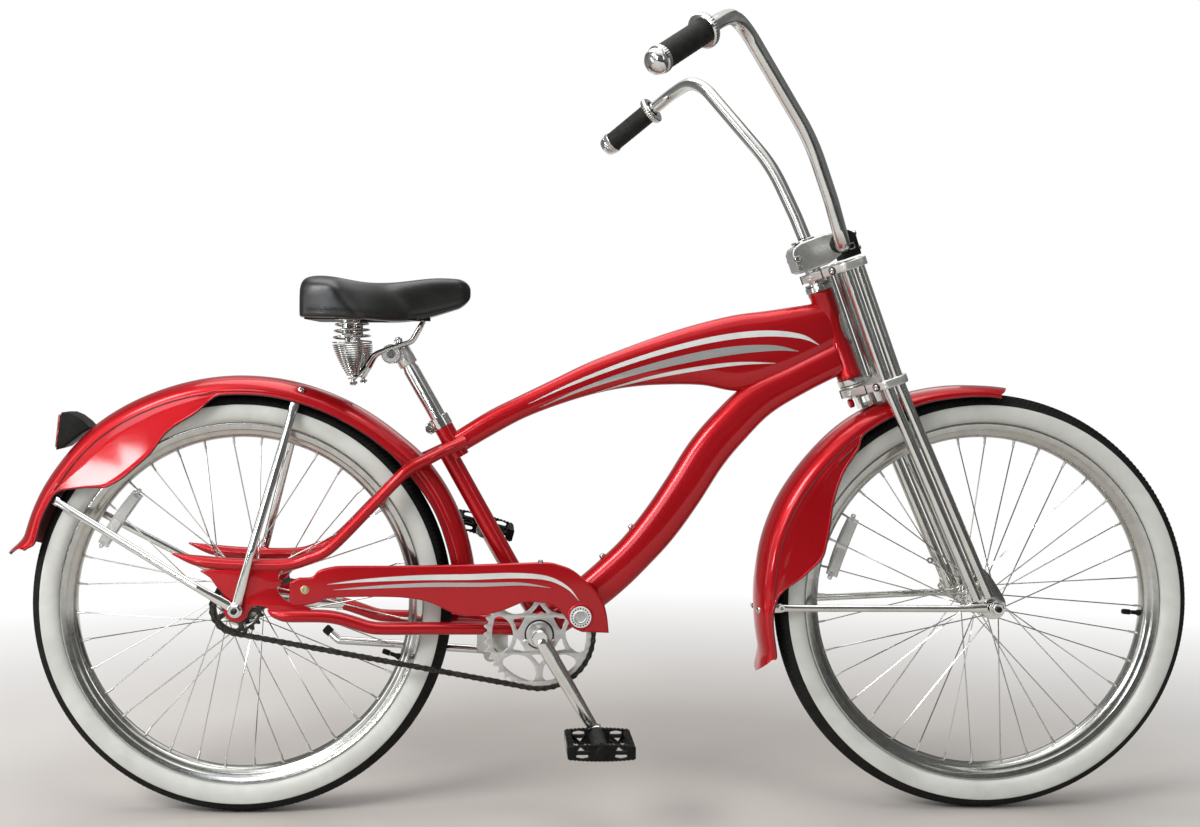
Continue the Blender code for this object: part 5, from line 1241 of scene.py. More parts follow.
def make_pedal(side, centre, tip):
    """A moulded pedal: two serrated end plates with slots, two tread bars, ribs and the barrel."""
    forward = Vector((math.cos(tip), 0, -math.sin(tip)))
    upward = forward.cross(LEFT)
    shape = Shape("black_plastic", "clear_lens", "grip_rubber")
    top = []
    for k in range(PEDAL_TEETH * 2 + 1):
        x = 48.5 * (1 - k / PEDAL_TEETH)
        crown = 13 - 2.6 * (abs(x) / 48.5) ** 2
        top.append((x, crown if k % 2 else crown - 1.5))
    outline = [(-x, -z) for x, z in top] + [(PEDAL_END_X, -8.5), (PEDAL_END_X, 8.5)] + top
    outline += [(-PEDAL_END_X, 8.5), (-PEDAL_END_X, -8.5)]
    slots = []
    for x in (-PEDAL_SLOT_X, PEDAL_SLOT_X):
        for z in (5, -5):
            slots.append(hull(lozenge((x - 6.4, z), (x + 6.4, z), 2.8, 14) + circle((x, z * 1.14), 3.2, 14)))
    for y in (-PEDAL_PLATE_Y, PEDAL_PLATE_Y):
        matrix = axes_matrix(forward, upward, forward.cross(upward), centre + LEFT * y)
        shape.add(slab(outline, 7, matrix, slots, edge=0.7))
    for x in (-PEDAL_BAR_X, PEDAL_BAR_X):
        rings = []
        for y in (-38, 38):
            bar = hull([point for dx in (-3.2, 3.2) for dz in (-7, 7)
                        for point in circle((x + dx, dz), 1.8, 10)])
            rings.append([centre + forward * u + upward * w + LEFT * y for u, w in bar])
        shape.add(rings_shell(rings))
        for k in range(-5, 6):
            for z in (-8.8, 8.8):
                shape.add(block((8.8, 3, 2.2), centre + forward * x + LEFT * (k * 6.4) + upward * z,
                                upward, forward))
    for x in (-PEDAL_SLOT_X, PEDAL_SLOT_X):
        for lean in (-1, 1):
            first = centre + forward * (x - lean * 10) - LEFT * 38
            last = centre + forward * (x + lean * 10) + LEFT * 38
            shape.add(sweep([first, last], [(4, 1.1), (4, 1.1)], 12, upward))
    shape.add(lathe([(0, -36.8), (13.2, -36.8), (11.8, -30), (11.2, 0), (11.8, 30), (13.2, 36.8), (0, 36.8)],
                    centre, LEFT, 36), 2)
    sign = 1 if side == "left" else -1
    shape.add(lathe([(0, 43.6), (9.8, 43.6), (9.8, 44.6), (8.6, 45.5), (0, 45.8)], centre, LEFT * sign, 32))
    for out in (-forward, forward):
        shape.add(block((42, 13, 2), centre + out * (PEDAL_END_X - 0.2), out, LEFT), 1)
    shape.make(f"pedal_{side}_look", f"{side}_pedal", "black_plastic", f"pedal_{side}", sharp=35, bevel=0.3)


GUARD_TOP = [(97, 380), (116, 381), (127, 391), (147, 396.5), (170, 398), (253, 398), (315, 399), (376, 400),
             (438, 402), (480, 403), (500, 399), (520, 391), (540, 375), (557, 358), (568, 341), (574, 320),
             (577, 293)]
GUARD_BOTTOM = [(535, 294.5), (520, 302), (509, 318), (497, 332), (478, 339.5), (447, 341.5), (432, 336.5),
                (410, 327.5), (388, 322.5), (361, 320), (338, 323), (315, 333.5), (292, 343), (253, 349),
                (190, 350), (142, 348), (120, 340), (100, 337), (83, 340), (82, 374)]
GUARD_FACE_Y = -61.5


def make_guard():
    """The chain guard's pressed tray, its round boss with a disc whose ring of holes is drawn as dark dots of
    painted shade, and its screws.
    """
    outline = spline(GUARD_TOP, 4) + spline(GUARD_BOTTOM, 4)
    shape = Shape("paint", "paint_inside")
    rings = []
    for by, y in ((3.6, -60), (2.4, -59.2), (2, -55.5), (0, -55.5), (0, -59),
                  (0.4, -60.1), (1.1, -61), (2.2, GUARD_FACE_Y), (3.4, GUARD_FACE_Y)):
        ring = inset(outline, by) if by else outline
        rings.append([at(x, y, z) for x, z in ring])
    shell = rings_shell(rings)
    count = len(outline)
    # The tray's inner faces take the darker red: painted shade inside the tray.
    which = [1] * (2 * count) + [0] * (len(shell[1]) - 2 * count - 2) + [1, 0]
    shape.add(shell, which)
    boss = at(532.5, GUARD_FACE_Y, 318.5)
    shape.add(lathe([(0, -1), (20.5, -1), (20.3, 0.4), (19, 1.4), (17.8, 1.4), (17.2, 0.6), (0, 0.6)], boss,
                    -LEFT, 64))
    shape.make("chain_guard_look", "frame", "paint", "chain_guard", sharp=40)
    disc = Shape("ring_alloy", "grip_rubber", "white_stripe")
    disc.add(lathe([(10.4, 0.4), (16.8, 0.4), (16.8, 1.6), (16.4, 2), (15, 1.8), (11.6, 1.8), (10.4, 1.6)],
                   boss, -LEFT, 64), 2)
    disc.add(lathe([(0, 0.4), (10.6, 0.4), (10.6, 2), (10, 2.5), (8.5, 2.4), (7.8, 1.8), (0, 2.1)], boss,
                   -LEFT, 64), 0)
    # Each hole is a dark dot standing out of the disc: painted shade where a hole would be, nothing is cut.
    for k in range(20):
        turn = 2 * math.pi * k / 20
        hole = polar(boss, 13.3, turn)
        disc.add(lathe([(0, 0), (1.2, 0), (1.2, 1.9), (1, 2.1), (0, 2.1)], hole, -LEFT, 12), 1)
    disc.make("guard_disc", "frame", "brushed_alloy")
    screws = Shape("brass", "chrome")
    screws.add(bolt(at(106, GUARD_FACE_Y, 362), -LEFT, 5, 3, washer=6.6), 0)
    screws.add(bolt(at(470.5, -58.5, 403.5), UP, 4, 3), 1)
    screws.make("guard_screws", "frame", "chrome")


def make_brake_arm():
    arm = Shape("chrome", "dark_steel")
    outline = [(-13, 322), (-4, 318), (150, 312), (156, 318), (152, 325), (12, 342), (0, 346), (-12, 342)]
    arm.add(slab(outline, 2.4, side_matrix(43), [circle((0, AXLE_Z), 5.6, 24)], edge=0.6))
    clip = at(146.5, 45.5, 319.5)
    arm.add(block((11, 1.6, 22.5), clip + LEFT * 2, UP, FORWARD))
    arm.add(bolt(clip + LEFT * 3, LEFT, 4.6, 3), 0)
    arm.make("brake_arm_look", "frame", "chrome", "coaster_brake_arm", sharp=35, bevel=0.3)


make_drive()
make_guard()
make_brake_arm()


# Steering
FORK_KINK_ANGLE = math.radians(3.66)
FORK_OFFSET = 45
FORK_HALF_WIDTH = 59.5
FORK_TUBE_RADIUS = 8.7
FORK_TUBE_SPACING = 19
UPPER_CROWN_S = -98
LOWER_CROWN_S = 96
KINK_S = 108
# Two places on the crowns' slanted side: forward, and to either side
CROWN_EDGE = (Vector((-17.9, 13.7)), Vector((24, 68.3)))
CROWN_THICKNESS = 13
BAR_RADIUS = 11.1
STEM_FORWARD = 47.5
STEM_S = -135
BAR_HALF = [(945, 0, 903.1), (945, 36, 903.1), (932.2, 95.3, 890.8), (908.5, 110.7, 959.3),
            (872.3, 130.3, 1048.1), (753, 192.7, 1211.5), (721.3, 256.7, 1199.2), (619.6, 329.6, 1121.7)]
BAR_BENDS = [(30, 6), (32, 12), (300, 5), (300, 6), (58, 16), (80, 10)]
GRIP_LENGTH = 106
FORK_TAB = [(-43, 352), (-26, 391), (-10, 386), (14, 350), (18.5, 336), (16, 322), (6, 314), (-8, 314),
            (-19, 322), (-32, 334)]
STEER_PLATE = (FORE_STEER, LEFT, -DOWN_STEER)
STEER_SIDE = (FORE_STEER, DOWN_STEER, LEFT)


def make_crown(name, s, reach):
    """A crown plate round the steerer and the legs' tubes. reach is its pinch bolts' share of each side."""
    legs = [(FORK_OFFSET + side * FORK_TUBE_SPACING / 2, sign * FORK_HALF_WIDTH)
            for side in (-1, 1) for sign in (-1, 1)]
    around = circle((0, 0), 22.5, 36)
    for leg in legs:
        around += circle(leg, 14.5, 28)
    shape = Shape("brushed_alloy", "chrome", "dark_steel")
    shape.add(slab(hull(around), CROWN_THICKNESS, axes_matrix(*STEER_PLATE, steer(s)), edge=1.6,
                   edge_steps=4))
    for sign in (-1, 1):
        place, slot = (CROWN_EDGE[0].lerp(CROWN_EDGE[1], share) for share in (reach, reach - 0.3))
        out = (FORE_STEER * -0.794 + LEFT * (sign * 0.607)).normalized()
        shape.add(bolt(steer(s, place.x, sign * place.y), out, 4.4, 3), 1)
        shape.add(lathe([(0, -0.4), (6.6, -0.4), (6.6, 0.8), (0, 0.8)], steer(s, place.x, sign * place.y),
                        out, 24), 2)
        # A thin dark strip stands for each side's pinch slot: painted shade, no slot is cut.
        shape.add(block((1.2, 1.8, CROWN_THICKNESS + 0.4), steer(s, slot.x, sign * slot.y),
                        DOWN_STEER, out), 2)
    # A wider dark strip stands for the slot at the back: painted shade.
    shape.add(block((2.4, 1.6, CROWN_THICKNESS + 0.4), steer(s, -22.4), DOWN_STEER, FORE_STEER), 2)
    shape.add(bolt(steer(s, -13, -18), (-LEFT - FORE_STEER * 0.7).normalized(), 3.6, 3.4), 1)
    shape.make(f"{name}_look", "fork", "brushed_alloy", name, sharp=35)


def fork_line(forward, end_s, y):
    f = FORK_OFFSET + forward
    return [steer(UPPER_CROWN_S - CROWN_THICKNESS / 2, f, y), steer(KINK_S, f, y),
            steer(end_s, f + (end_s - KINK_S) * math.tan(FORK_KINK_ANGLE), y)]


def make_fork_leg(side, sign):
    shape = Shape("chrome", "dark_steel")
    y = sign * FORK_HALF_WIDTH
    for forward, end_s in ((-FORK_TUBE_SPACING / 2, 462), (FORK_TUBE_SPACING / 2, 464)):
        line = rounded(fork_line(forward, end_s, y), [(200, 6)])
        radii = [FORK_TUBE_RADIUS] * len(line)
        out = (line[-1] - line[-2]).normalized()
        line += [line[-1] + out * 0.6]
        radii += [FORK_TUBE_RADIUS * 0.86]
        shape.add(sweep(line, radii, 30))
        cap = line[0]
        shape.add(lathe([(0, 0), (8.6, 0), (8.6, 0.4), (7.8, 1), (0, 1.2)], cap, -DOWN_STEER, 30))
    outline = spline([(WHEELBASE + x, z) for x, z in FORK_TAB], 3, closed=True)
    shape.add(slab(outline, 5.2, side_matrix(y), [circle((WHEELBASE, AXLE_Z), 5.5, 24)], edge=1))
    shape.add(bolt(at(WHEELBASE - 29, y + sign * 2.6, 366), LEFT * sign, 4.2, 2.8), 0)
    for s in (412, 458):
        f = FORK_OFFSET - FORK_TUBE_SPACING / 2 + (s - KINK_S) * math.tan(FORK_KINK_ANGLE)
        eye = steer(s, f - FORK_TUBE_RADIUS - 4, y)
        shape.add(lathe([(2.6, -2), (5, -2), (5, 2), (2.6, 2)], eye, LEFT, 20))
        shape.add(block((6, 3.6, 6), steer(s, f - FORK_TUBE_RADIUS + 0.4, y), DOWN_STEER,
                        FORE_STEER))
    shape.make(f"fork_leg_{side}_look", "fork", "chrome", f"fork_leg_{side}", sharp=35)


def make_grip(side, sign):
    end, before = at(*BAR_HALF[-1]), at(*BAR_HALF[-2])
    out = (end - before).normalized()
    start = end - out * (GRIP_LENGTH - 6 - 0.9)
    start = Vector((start.x, sign * start.y, start.z))
    out = Vector((out.x, sign * out.y, out.z))
    ribs = []
    for k in range(31):
        height = 10.5 + k * (GRIP_LENGTH - 19.5) / 30
        ribs.append((18 if k % 2 else 17.7, height))
    body = [(11.4, 3.5), (14, 3.5), (14, 8), (17.2, 8.5), *ribs, (17, GRIP_LENGTH - 6.5),
            (11.4, GRIP_LENGTH - 6.5)]
    shape = Shape("grip_rubber", "chrome", "dark_steel")
    shape.add(lathe(body, start, out, 48), 0)
    shape.add(knurled(start, out, [(23.2, 0, 0), (25, 1.2, 1), (25.6, 3, 1), (25.6, 7.2, 1), (25, 9, 1),
                                   (22.4, 10.6, 0)], 16, 40, 0.7), 1)
    shape.add(lathe([(11.8, 1.4), (16.2, 1.4), (16.2, 2.4), (11.8, 2.4)], start, out, 40), 2)
    rim = GRIP_LENGTH - 8.5
    shape.add(knurled(start, out, [(18.6, rim, 0), (19.8, rim + 0.8, 1), (20, rim + 7, 1),
                                   (18.8, rim + 8, 0)], 12, 36, 0.6), 1)
    shape.add(lathe([(12, rim + 7.4), (17.6, rim + 7.4), (18.3, rim + 9.2), (18.1, rim + 12.8),
                     (16.8, rim + 17.2), (13.8, rim + 20.8), (9, rim + 23), (0, rim + 24), (0, rim + 7.4)],
                    start, out, 48), 1)
    shape.make(f"grip_{side}_look", "bars", "grip_rubber", f"grip_{side}", sharp=35)


def make_steering():
    """The headset, steerer, crowns, legs, grips, fender bracket, stem, faceplate and handlebar."""
    for name, s, sign in (("headset_upper_cup", -73, -1), ("headset_lower_cup", 75, 1)):
        cup = Shape("chrome", "dark_steel")
        cup.add(lathe([(21.2, 0.3), (21.2, 7.8), (20.6, 9.4), (19.6, 10), (13.8, 10), (13.8, 0.3)], steer(s),
                      DOWN_STEER * sign, 48))
        cup.add(lathe([(19, 9.6), (19, 10.8), (13.8, 10.8), (13.8, 9.6)], steer(s), DOWN_STEER * sign, 48), 1)
        cup.add(lathe([(19.9, 10.6), (20.5, 11.2), (20, 13.4), (13.8, 13.4), (13.8, 10.6)], steer(s),
                      DOWN_STEER * sign, 48))
        cup.make(f"{name}_look", "frame", "brushed_alloy", name, sharp=35)
    steerer = Shape("chrome", "dark_steel")
    steerer.add(lathe([(12.7, 258), (12.7, 0), (10.8, 0), (10.8, 258)], steer(-151), DOWN_STEER, 40))
    steerer.add(lathe([(0, 0), (18, 0), (19, -1.2), (18.8, -3), (15, -4.2), (0, -4.4)], steer(-156),
                      DOWN_STEER, 40))
    steerer.add(bolt(steer(-160.2), -DOWN_STEER, 6.2, 2.2), 1)
    steerer.make("steerer_look", "fork", "chrome", "steerer_tube", sharp=35)
    make_crown("upper_crown", UPPER_CROWN_S, 0.76)
    make_crown("lower_crown", LOWER_CROWN_S, 0.86)
    for side, sign in SIDES:
        make_fork_leg(side, sign)
        make_grip(side, sign)

    bracket = Shape("brushed_alloy", "chrome", "paint")
    bracket.add(block((30, 24, 4), steer(104.5, 26), DOWN_STEER, LEFT))
    bracket.add(block((30, 4.5, 30), steer(119, 35.5), DOWN_STEER, LEFT))
    box = [(-11.5, -12.5), (11.5, -12.5), (11.5, 12.5), (-11.5, 12.5)]
    bracket.add(slab(box, 26, axes_matrix(*STEER_SIDE, steer(115, 10)),
                     [[(x * 0.52, y * 0.52) for x, y in box]], edge=1), 1)
    knob = steer(114, -8)
    bracket.add(lathe([(0, 0), (6.6, 0), (7.4, 1.2), (7.4, 6.2), (5.6, 8), (0, 8.4)], knob, -FORE_STEER, 28),
                2)
    bracket.make("fender_bracket_look", "fork", "brushed_alloy", "front_fender_bracket", sharp=35,
                 bevel=0.8)

    body = [(-29, -144), (-29, -114), (-22, -109.5), (20, -109.5), (34, -113), (47.5, -117), (47.5, -153),
            (30, -157), (-10, -156), (-24, -151)]
    matrix = axes_matrix(*STEER_SIDE, steer(0))
    stem = Shape("stem_alloy", "chrome", "dark_steel")
    stem.add(slab(body, 46, matrix, edge=3.4, edge_steps=5))
    for s, f, radius in ((-133.3, -22.5, 5), (-120, -23.2, 3)):
        for sign in (-1, 1):
            stem.add(bolt(steer(s, f, sign * 23), LEFT * sign, radius, 1.6, washer=radius * 1.3), 1)
    for sign in (-1, 1):
        stem.add(lathe([(10.8, -1), (15.2, -1), (15.2, 1), (14.4, 1.6), (10.8, 1.6)],
                       steer(STEM_S, STEM_FORWARD, sign * 23), LEFT * sign, 40), 2)
    stem.make("stem_look", "fork", "brushed_alloy", "stem", sharp=35)
    face = [(48.2, -108), (48.2, -153), (60, -156), (70, -150), (78.5, -142.5), (77, -108)]
    cap = Shape("black_plastic", "chrome", "dark_steel")
    cap.add(slab(face, 46, matrix, edge=3, edge_steps=5))
    for s in (-119, -143):
        for y in (-15, 15):
            reach = 77.5 if s > -130 else 77.8
            cap.add(bolt(steer(s, reach, y), FORE_STEER, 4.2, 3), 1)
    for sign in (-1, 1):
        frame_ring = circle((65.5, -124.5), 7.2, 4, math.pi / 4)
        hole = circle((65.5, -124.5), 5, 4, math.pi / 4)
        plate_matrix = axes_matrix(*STEER_SIDE, steer(0, 0, sign * 23.2))
        cap.add(slab(frame_ring, 1.2, plate_matrix, [hole], edge=0.3), 1)
    cap.make("faceplate_look", "fork", "black_plastic", "stem_faceplate", sharp=35)

    half = rounded([at(*point) for point in BAR_HALF], BAR_BENDS)
    path = [*reversed(mirrored(half[1:])), *half]
    bar = Shape("chrome").add(sweep(path, BAR_RADIUS, 32, UP))
    bar.make("handlebar_look", "bars", "chrome", "handlebar", sharp=60)


make_steering()


# Saddle
SADDLE_PIVOT = (235, 726.5)
SADDLE_NOSE_X = 289
RAIL_RADIUS = 3.6
SPRING_X = 173
SPRING_Y = 75
SPRING_SEAT_Z = 744.5
SPRING_FOOT = (181.5, -75, 687.5)
PILLAR_TOP_Z = 781
# Stations from tail to nose: place forward, half width, top and bottom
SADDLE = [(102, 94, 837, 783), (108.5, 105.5, 846.5, 781.5), (135, 114, 848.5, 781), (165, 118, 844, 780.5),
          (188, 108, 840.5, 780), (206, 84, 839, 779), (240, 50, 839.5, 777), (276, 38, 844, 779.5),
          (311, 33, 847.5, 789), (343, 26.5, 845.5, 799)]
SADDLE_NOSE = [(351, 22.2, 842.5, 804.5), (356, 16.8, 838.5, 809.5), (359.2, 10.8, 834, 814),
               (360.6, 4.6, 829, 818.5)]
# Half of the section, from its lower edge to the crown: shares of the half width and of the height
SADDLE_SECTION = [(0.9, 0), (0.985, 0.05), (1, 0.2), (0.995, 0.42), (0.985, 0.6), (0.945, 0.78),
                  (0.84, 0.91), (0.66, 0.975), (0.4, 1), (0, 0.985)]
SKIRT_SWAY = 50
POST_TOP = 124


def make_cushion():
    """The padded top under its vinyl cover: crowned, drawn in at the rear, with the cover's edge seam."""
    stations = [tuple(row) for row in spline(SADDLE, 6)]
    for _again in range(12):
        stations = [stations[0]] + [tuple((a + 2 * b + c) / 4 for a, b, c in zip(*rows))
                                    for rows in zip(stations, stations[1:], stations[2:])] + [stations[-1]]
    stations += SADDLE_NOSE
    half_section = spline(SADDLE_SECTION, 3)
    rings = []

    def half_at(x):
        after = next((k for k, row in enumerate(stations) if row[0] > x), len(stations) - 1)
        first, last = stations[max(after - 1, 0)], stations[after]
        share = min(max((x - first[0]) / max(last[0] - first[0], 1e-9), 0), 1)
        return first[1] + (last[1] - first[1]) * share

    for x, half, top, bottom in stations:
        height = top - bottom
        sway = SKIRT_SWAY * min(max((x - 140) / 30, 0), 1) * min(max((300 - x) / 60, 0), 1)
        ridge = 1.6 * math.exp(-((x - 165) / 35) ** 2)
        dish = 3.5 * math.exp(-((x - 190) / 55) ** 2)
        ring = []
        for across, rise in half_section:
            seam = -1.1 * math.exp(-((rise - 0.14) / 0.028) ** 2)
            bulge = ridge * math.exp(-((rise - 0.74) / 0.13) ** 2)
            wide = half_at(x + sway * (rise - 0.45)) if sway else half
            tuck = 1 - 0.24 * (1 - rise) ** 1.5 * min(max((x - 205) / 60, 0), 1)
            y = (wide + seam) * across * tuck + bulge * min(across * 1.3, 1)
            z = bottom + height * rise - dish * max(0, 1 - (across / 0.55) ** 2) * (rise > 0.9)
            ring.append((x, y, z))
        other = [(px, -py, pz) for px, py, pz in ring[-2::-1]]
        rings.append([at(*point) for point in ring + other])
    first = rings[0]
    centre = sum(first, Vector()) / len(first)
    tail = [[centre + (v - centre) * share + FORWARD * push for v in first]
            for share, push in ((0.3, -1.2), (0.75, -1), (0.93, -0.4))]
    piece = Shape("vinyl").add(rings_shell(tail + rings)).make("saddle_cover", "saddle_top", "vinyl",
                                                               "saddle_cushion", sharp=70)
    smooth = piece.modifiers.new("smooth", "SUBSURF")
    smooth.levels = 1
    smooth.render_levels = 1


def coil(low, high, low_radius, high_radius, curls, ease, wire, steps, sides):
    """A spring of wire that goes from low to high, its radius changing along a curve of power ease."""
    path = []
    for k in range(int(curls * steps) + 1):
        share = k / (curls * steps)
        turn = 2 * math.pi * k / steps
        radius = high_radius + (low_radius - high_radius) * (1 - share) ** ease
        path.append(low + (high - low) * share + Vector((math.cos(turn), math.sin(turn), 0)) * radius)
    return sweep(path, wire, sides)


def spring_line(sign):
    """A lower spring's foot, its head under the upper spring, and the way up between them."""
    foot = at(SPRING_FOOT[0], -sign * SPRING_FOOT[1], SPRING_FOOT[2])
    head = at(SPRING_X, sign * SPRING_Y, SPRING_SEAT_Z)
    return foot, head, (head - foot).normalized()


def make_saddle_frame():
    rail = [at(SADDLE_NOSE_X - 4.5, -10, 777.3), at(280, -19, 769), at(267, -22.5, 746.2),
            at(226, -22.5, 733), at(208, -23.5, 726), at(196, -40, 705), at(*SPRING_FOOT)]
    path = rounded(rail, [(10, 6), (14, 6), (30, 5), (20, 6), (20, 6)])
    shape = Shape("chrome", "dark_steel", "brushed_alloy")
    for line in (path, mirrored(path)):
        shape.add(sweep(line, RAIL_RADIUS, 18))
    nose = at(SADDLE_NOSE_X - 4.5, 0, 777)
    shape.add(rod(nose - LEFT * 15, nose + LEFT * 15, 3.4, 18))
    pivot = at(SADDLE_PIVOT[0], 0, SADDLE_PIVOT[1])
    shape.add(rod(pivot - LEFT * 26, pivot + LEFT * 26, RAIL_RADIUS, 20))
    for sign in (-1, 1):
        side = LEFT * sign
        teeth = 26
        rings = []
        for y, base in ((15.6, 14.6), (20, 15), (21.5, 13.8)):
            rings.append([polar(pivot, base + 0.6 * (k % 2), math.pi * k / teeth, sign * y)
                          for k in range(2 * teeth)])
        shape.add(rings_shell(rings), 2)
        shape.add(hex_nut(pivot + side * 21.3, side, 6.2, 4.4, 3))
        foot, head, lean = spring_line(sign)
        shape.add(rod(foot - lean * 9.5, head, 3, 18))
        shape.add(hex_nut(foot - lean * 8, lean, 5.2, 4.4, 2.6))
        shape.add(lathe([(0, 1), (7.4, 1), (7.8, 2), (7, 3.2), (0, 3.6)], foot, lean, 24))
        shape.add(lathe([(0, -1.8), (22.6, -1.8), (23.4, -0.8), (23.4, 0.4), (22.2, 0), (20.6, -0.4),
                         (0, -0.2)], head, UP, 48))
        shape.add(lathe([(0, -1), (4.2, -1), (4.2, 20.4), (3.4, 21), (0, 21)], head, UP, 24))
    shape.make("saddle_frame_look", "saddle_rails", "chrome", "saddle_frame", sharp=35)
    for side, sign in SIDES:
        foot, head, lean = spring_line(sign)
        cone = Shape("chrome").add(coil(foot + lean * 5.5, head - lean * 3.6, 7.2, 22.6, 15, 1.6,
                                        1.25, 24, 8))
        cone.make(f"lower_spring_{side}_look", "saddle_rails", "chrome", f"saddle_lower_spring_{side}")
        wire = 1.5
        upper = Shape("chrome").add(coil(head + UP * (wire + 0.4), head + UP * 33.6, 21.8, 17, 3.2,
                                         1, wire, 28, 12))
        piece = upper.make(f"upper_spring_{side}_look", "saddle_rails", "chrome",
                           f"saddle_upper_spring_{side}")
        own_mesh(piece)


def make_saddle():
    """The cushion, its base with the spring pillars, the rails and springs, the seat post and its clamp."""
    make_cushion()
    base = Shape("black_plastic", "chrome")
    side = [(x, half * 0.84) for x, half, _top, _low in limited(SADDLE[1:8], 3)]
    outline = side + [(x, -half) for x, half in reversed(side)]
    flat = Matrix.Translation(Vector((REAR_AXLE_X, 0, 781.2)))
    base.add(slab(outline, 3.6, flat, edge=0.8))
    base.add(block((24, 28, 5), at(SADDLE_NOSE_X - 5, 0, 781.5), UP, FORWARD))
    for k in range(-3, 4):
        base.add(block((60, 2.2, 4), at(200, k * 12, 779.5), UP, FORWARD))
    for sign in (-1, 1):
        spot = at(SPRING_X, sign * SPRING_Y, 0)
        base.add(lathe([(8.5, PILLAR_TOP_Z), (8.5, 756), (8.1, 755), (7.1, 755), (7.1, PILLAR_TOP_Z)], spot,
                       UP, 36), 1)
        base.add(lathe([(20.5, 778.6), (20.5, 780.2), (0, 780.2), (0, 778.6)], spot, UP, 36), 1)
    base.make("saddle_base_look", "saddle_top", "black_plastic", "saddle_base", sharp=35, bevel=0.4)
    make_saddle_frame()

    top = POST_TOP
    post = Shape("chrome")
    post.add(lathe([(0, top), (10.4, top), (11.1, top - 0.8), (11.1, top - 32), (12.7, top - 37.5),
                    (12.7, -58), (0, -58)], seat(0), UP_POST, 44))
    post.make("seat_post_look", "seat_mast", "chrome", "seat_post", sharp=40)
    clamp = Shape("brushed_alloy", "chrome")
    pivot = at(SADDLE_PIVOT[0], 0, SADDLE_PIVOT[1])
    clamp.add(lathe([(11.2, top - 29), (14.2, top - 29), (15, top - 27.8), (15, top - 1), (14, top + 0.6),
                     (11.2, top + 0.6)], seat(0), UP_POST, 44))
    clamp.add(lathe([(0, -15), (11.2, -15), (12, -14), (12, 14), (11.2, 15), (0, 15)], pivot, LEFT, 40))
    strap = pivot.lerp(seat(top - 14), 0.5)
    clamp.add(block((30, 17, 20), strap, UP_POST, LEFT))
    knob_axis = (UP_POST + FORE_POST * 0.25).normalized()
    clamp.add(knurled(seat(top + 2, 1.5), knob_axis, [(6, 0, 0), (6.6, 1, 1), (6.6, 5, 1), (5, 5.6, 0),
                                                      (5, 7.8, 0), (6.6, 8.4, 1), (6.6, 13.4, 1),
                                                      (5.6, 14.4, 0)], 2.4, 16, 0.7), 1)
    clamp.add(bolt(seat(top + 2, 1.5) + knob_axis * 14.4, knob_axis, 4, 2.6), 1)
    clamp.make("saddle_clamp_look", "seat_mast", "dark_steel", "saddle_clamp", sharp=35, bevel=0.8)


def make_kickstand():
    pivot = at(392, 43, 242)
    axis = Vector((-0.1, 1, 0.175)).normalized()
    bracket = Shape("rim_steel", "dark_steel")
    bracket.add(lathe([(0, -19), (11.2, -19), (12, -18), (12, -8.5), (11.2, -7.5), (0, -7.5)], pivot, axis,
                      40))
    bracket.add(block((50, 4.5, 44), at(396, 28.5, 265), UP, FORWARD))
    bracket.add(bolt(at(378, 31, 276), LEFT, 5, 3.4), 1)
    bracket.add(bolt(at(412, 31, 276), LEFT, 5, 3.4), 1)
    bracket.make("kick_bracket_look", "frame", "chrome", "kickstand_bracket", sharp=35, bevel=0.8)
    path = rounded([pivot + axis * 0.5, pivot + Vector((-20, 6, 1)), at(144, 60, 256), at(122, 66, 274)],
                   [(8, 6), (10, 8)])
    leg = Shape("chrome", "grip_rubber")
    leg.add(sweep(path, 6.5, 24))
    leg.add(lathe([(0, -7), (10, -7), (10.8, -6.2), (10.8, 6.6), (10, 7.5), (0, 7.5)], pivot, axis, 36))
    out = (path[-1] - path[-2]).normalized()
    tip = path[-1] - out * 12
    leg.add(lathe([(0, 0), (6.2, 0), (7.2, 1), (7.6, 11), (6.6, 13.8), (0, 14.5)], tip, out, 28), 1)
    leg.make("kick_leg_look", "kickstand", "chrome", "kickstand_leg", sharp=40)


make_saddle()
make_kickstand()


# Pinstripes: plain tapered bands over the tank and the guard's face, each with its places in the side view
# and its widths there. They are set down along Y from CLEAR_Y, outside everything.
STRIPE_LIFT = 0.22
CLEAR_Y = 400


def band(points, widths, steps=10, across=4):
    """A tapered band's outline rows in the side view. points are (x, z) places and widths belong to them."""
    rows = spline([(*point, width) for point, width in zip(points, widths)], steps)
    made = []
    for k, (x, z, width) in enumerate(rows):
        before, after = rows[max(k - 1, 0)], rows[min(k + 1, len(rows) - 1)]
        along = Vector((after[0] - before[0], after[1] - before[1])).normalized()
        normal = Vector((-along.y, along.x))
        made.append([Vector((x, z)) + normal * (width * (step / across - 0.5)) for step in range(across + 1)])
    return made


def laid(rows, tree, sign):
    """The band's rows set down on the surface that the tree holds, a hair above it."""
    verts, faces = [], []
    wide = len(rows[0])
    for row in rows:
        for place in row:
            origin = at(place.x, sign * CLEAR_Y, place.y)
            hit, normal, _face, _distance = tree.ray_cast(origin, LEFT * -sign)
            if hit is None:
                hit, normal = at(place.x, 0, place.y), LEFT * sign
            if normal.y * sign < 0:
                normal = -normal
            verts.append(hit + normal * STRIPE_LIFT)
    for row in range(len(rows) - 1):
        for k in range(wide - 1):
            a, b = row * wide + k, (row + 1) * wide + k
            faces.append([a, a + 1, b + 1, b])
    return verts, faces


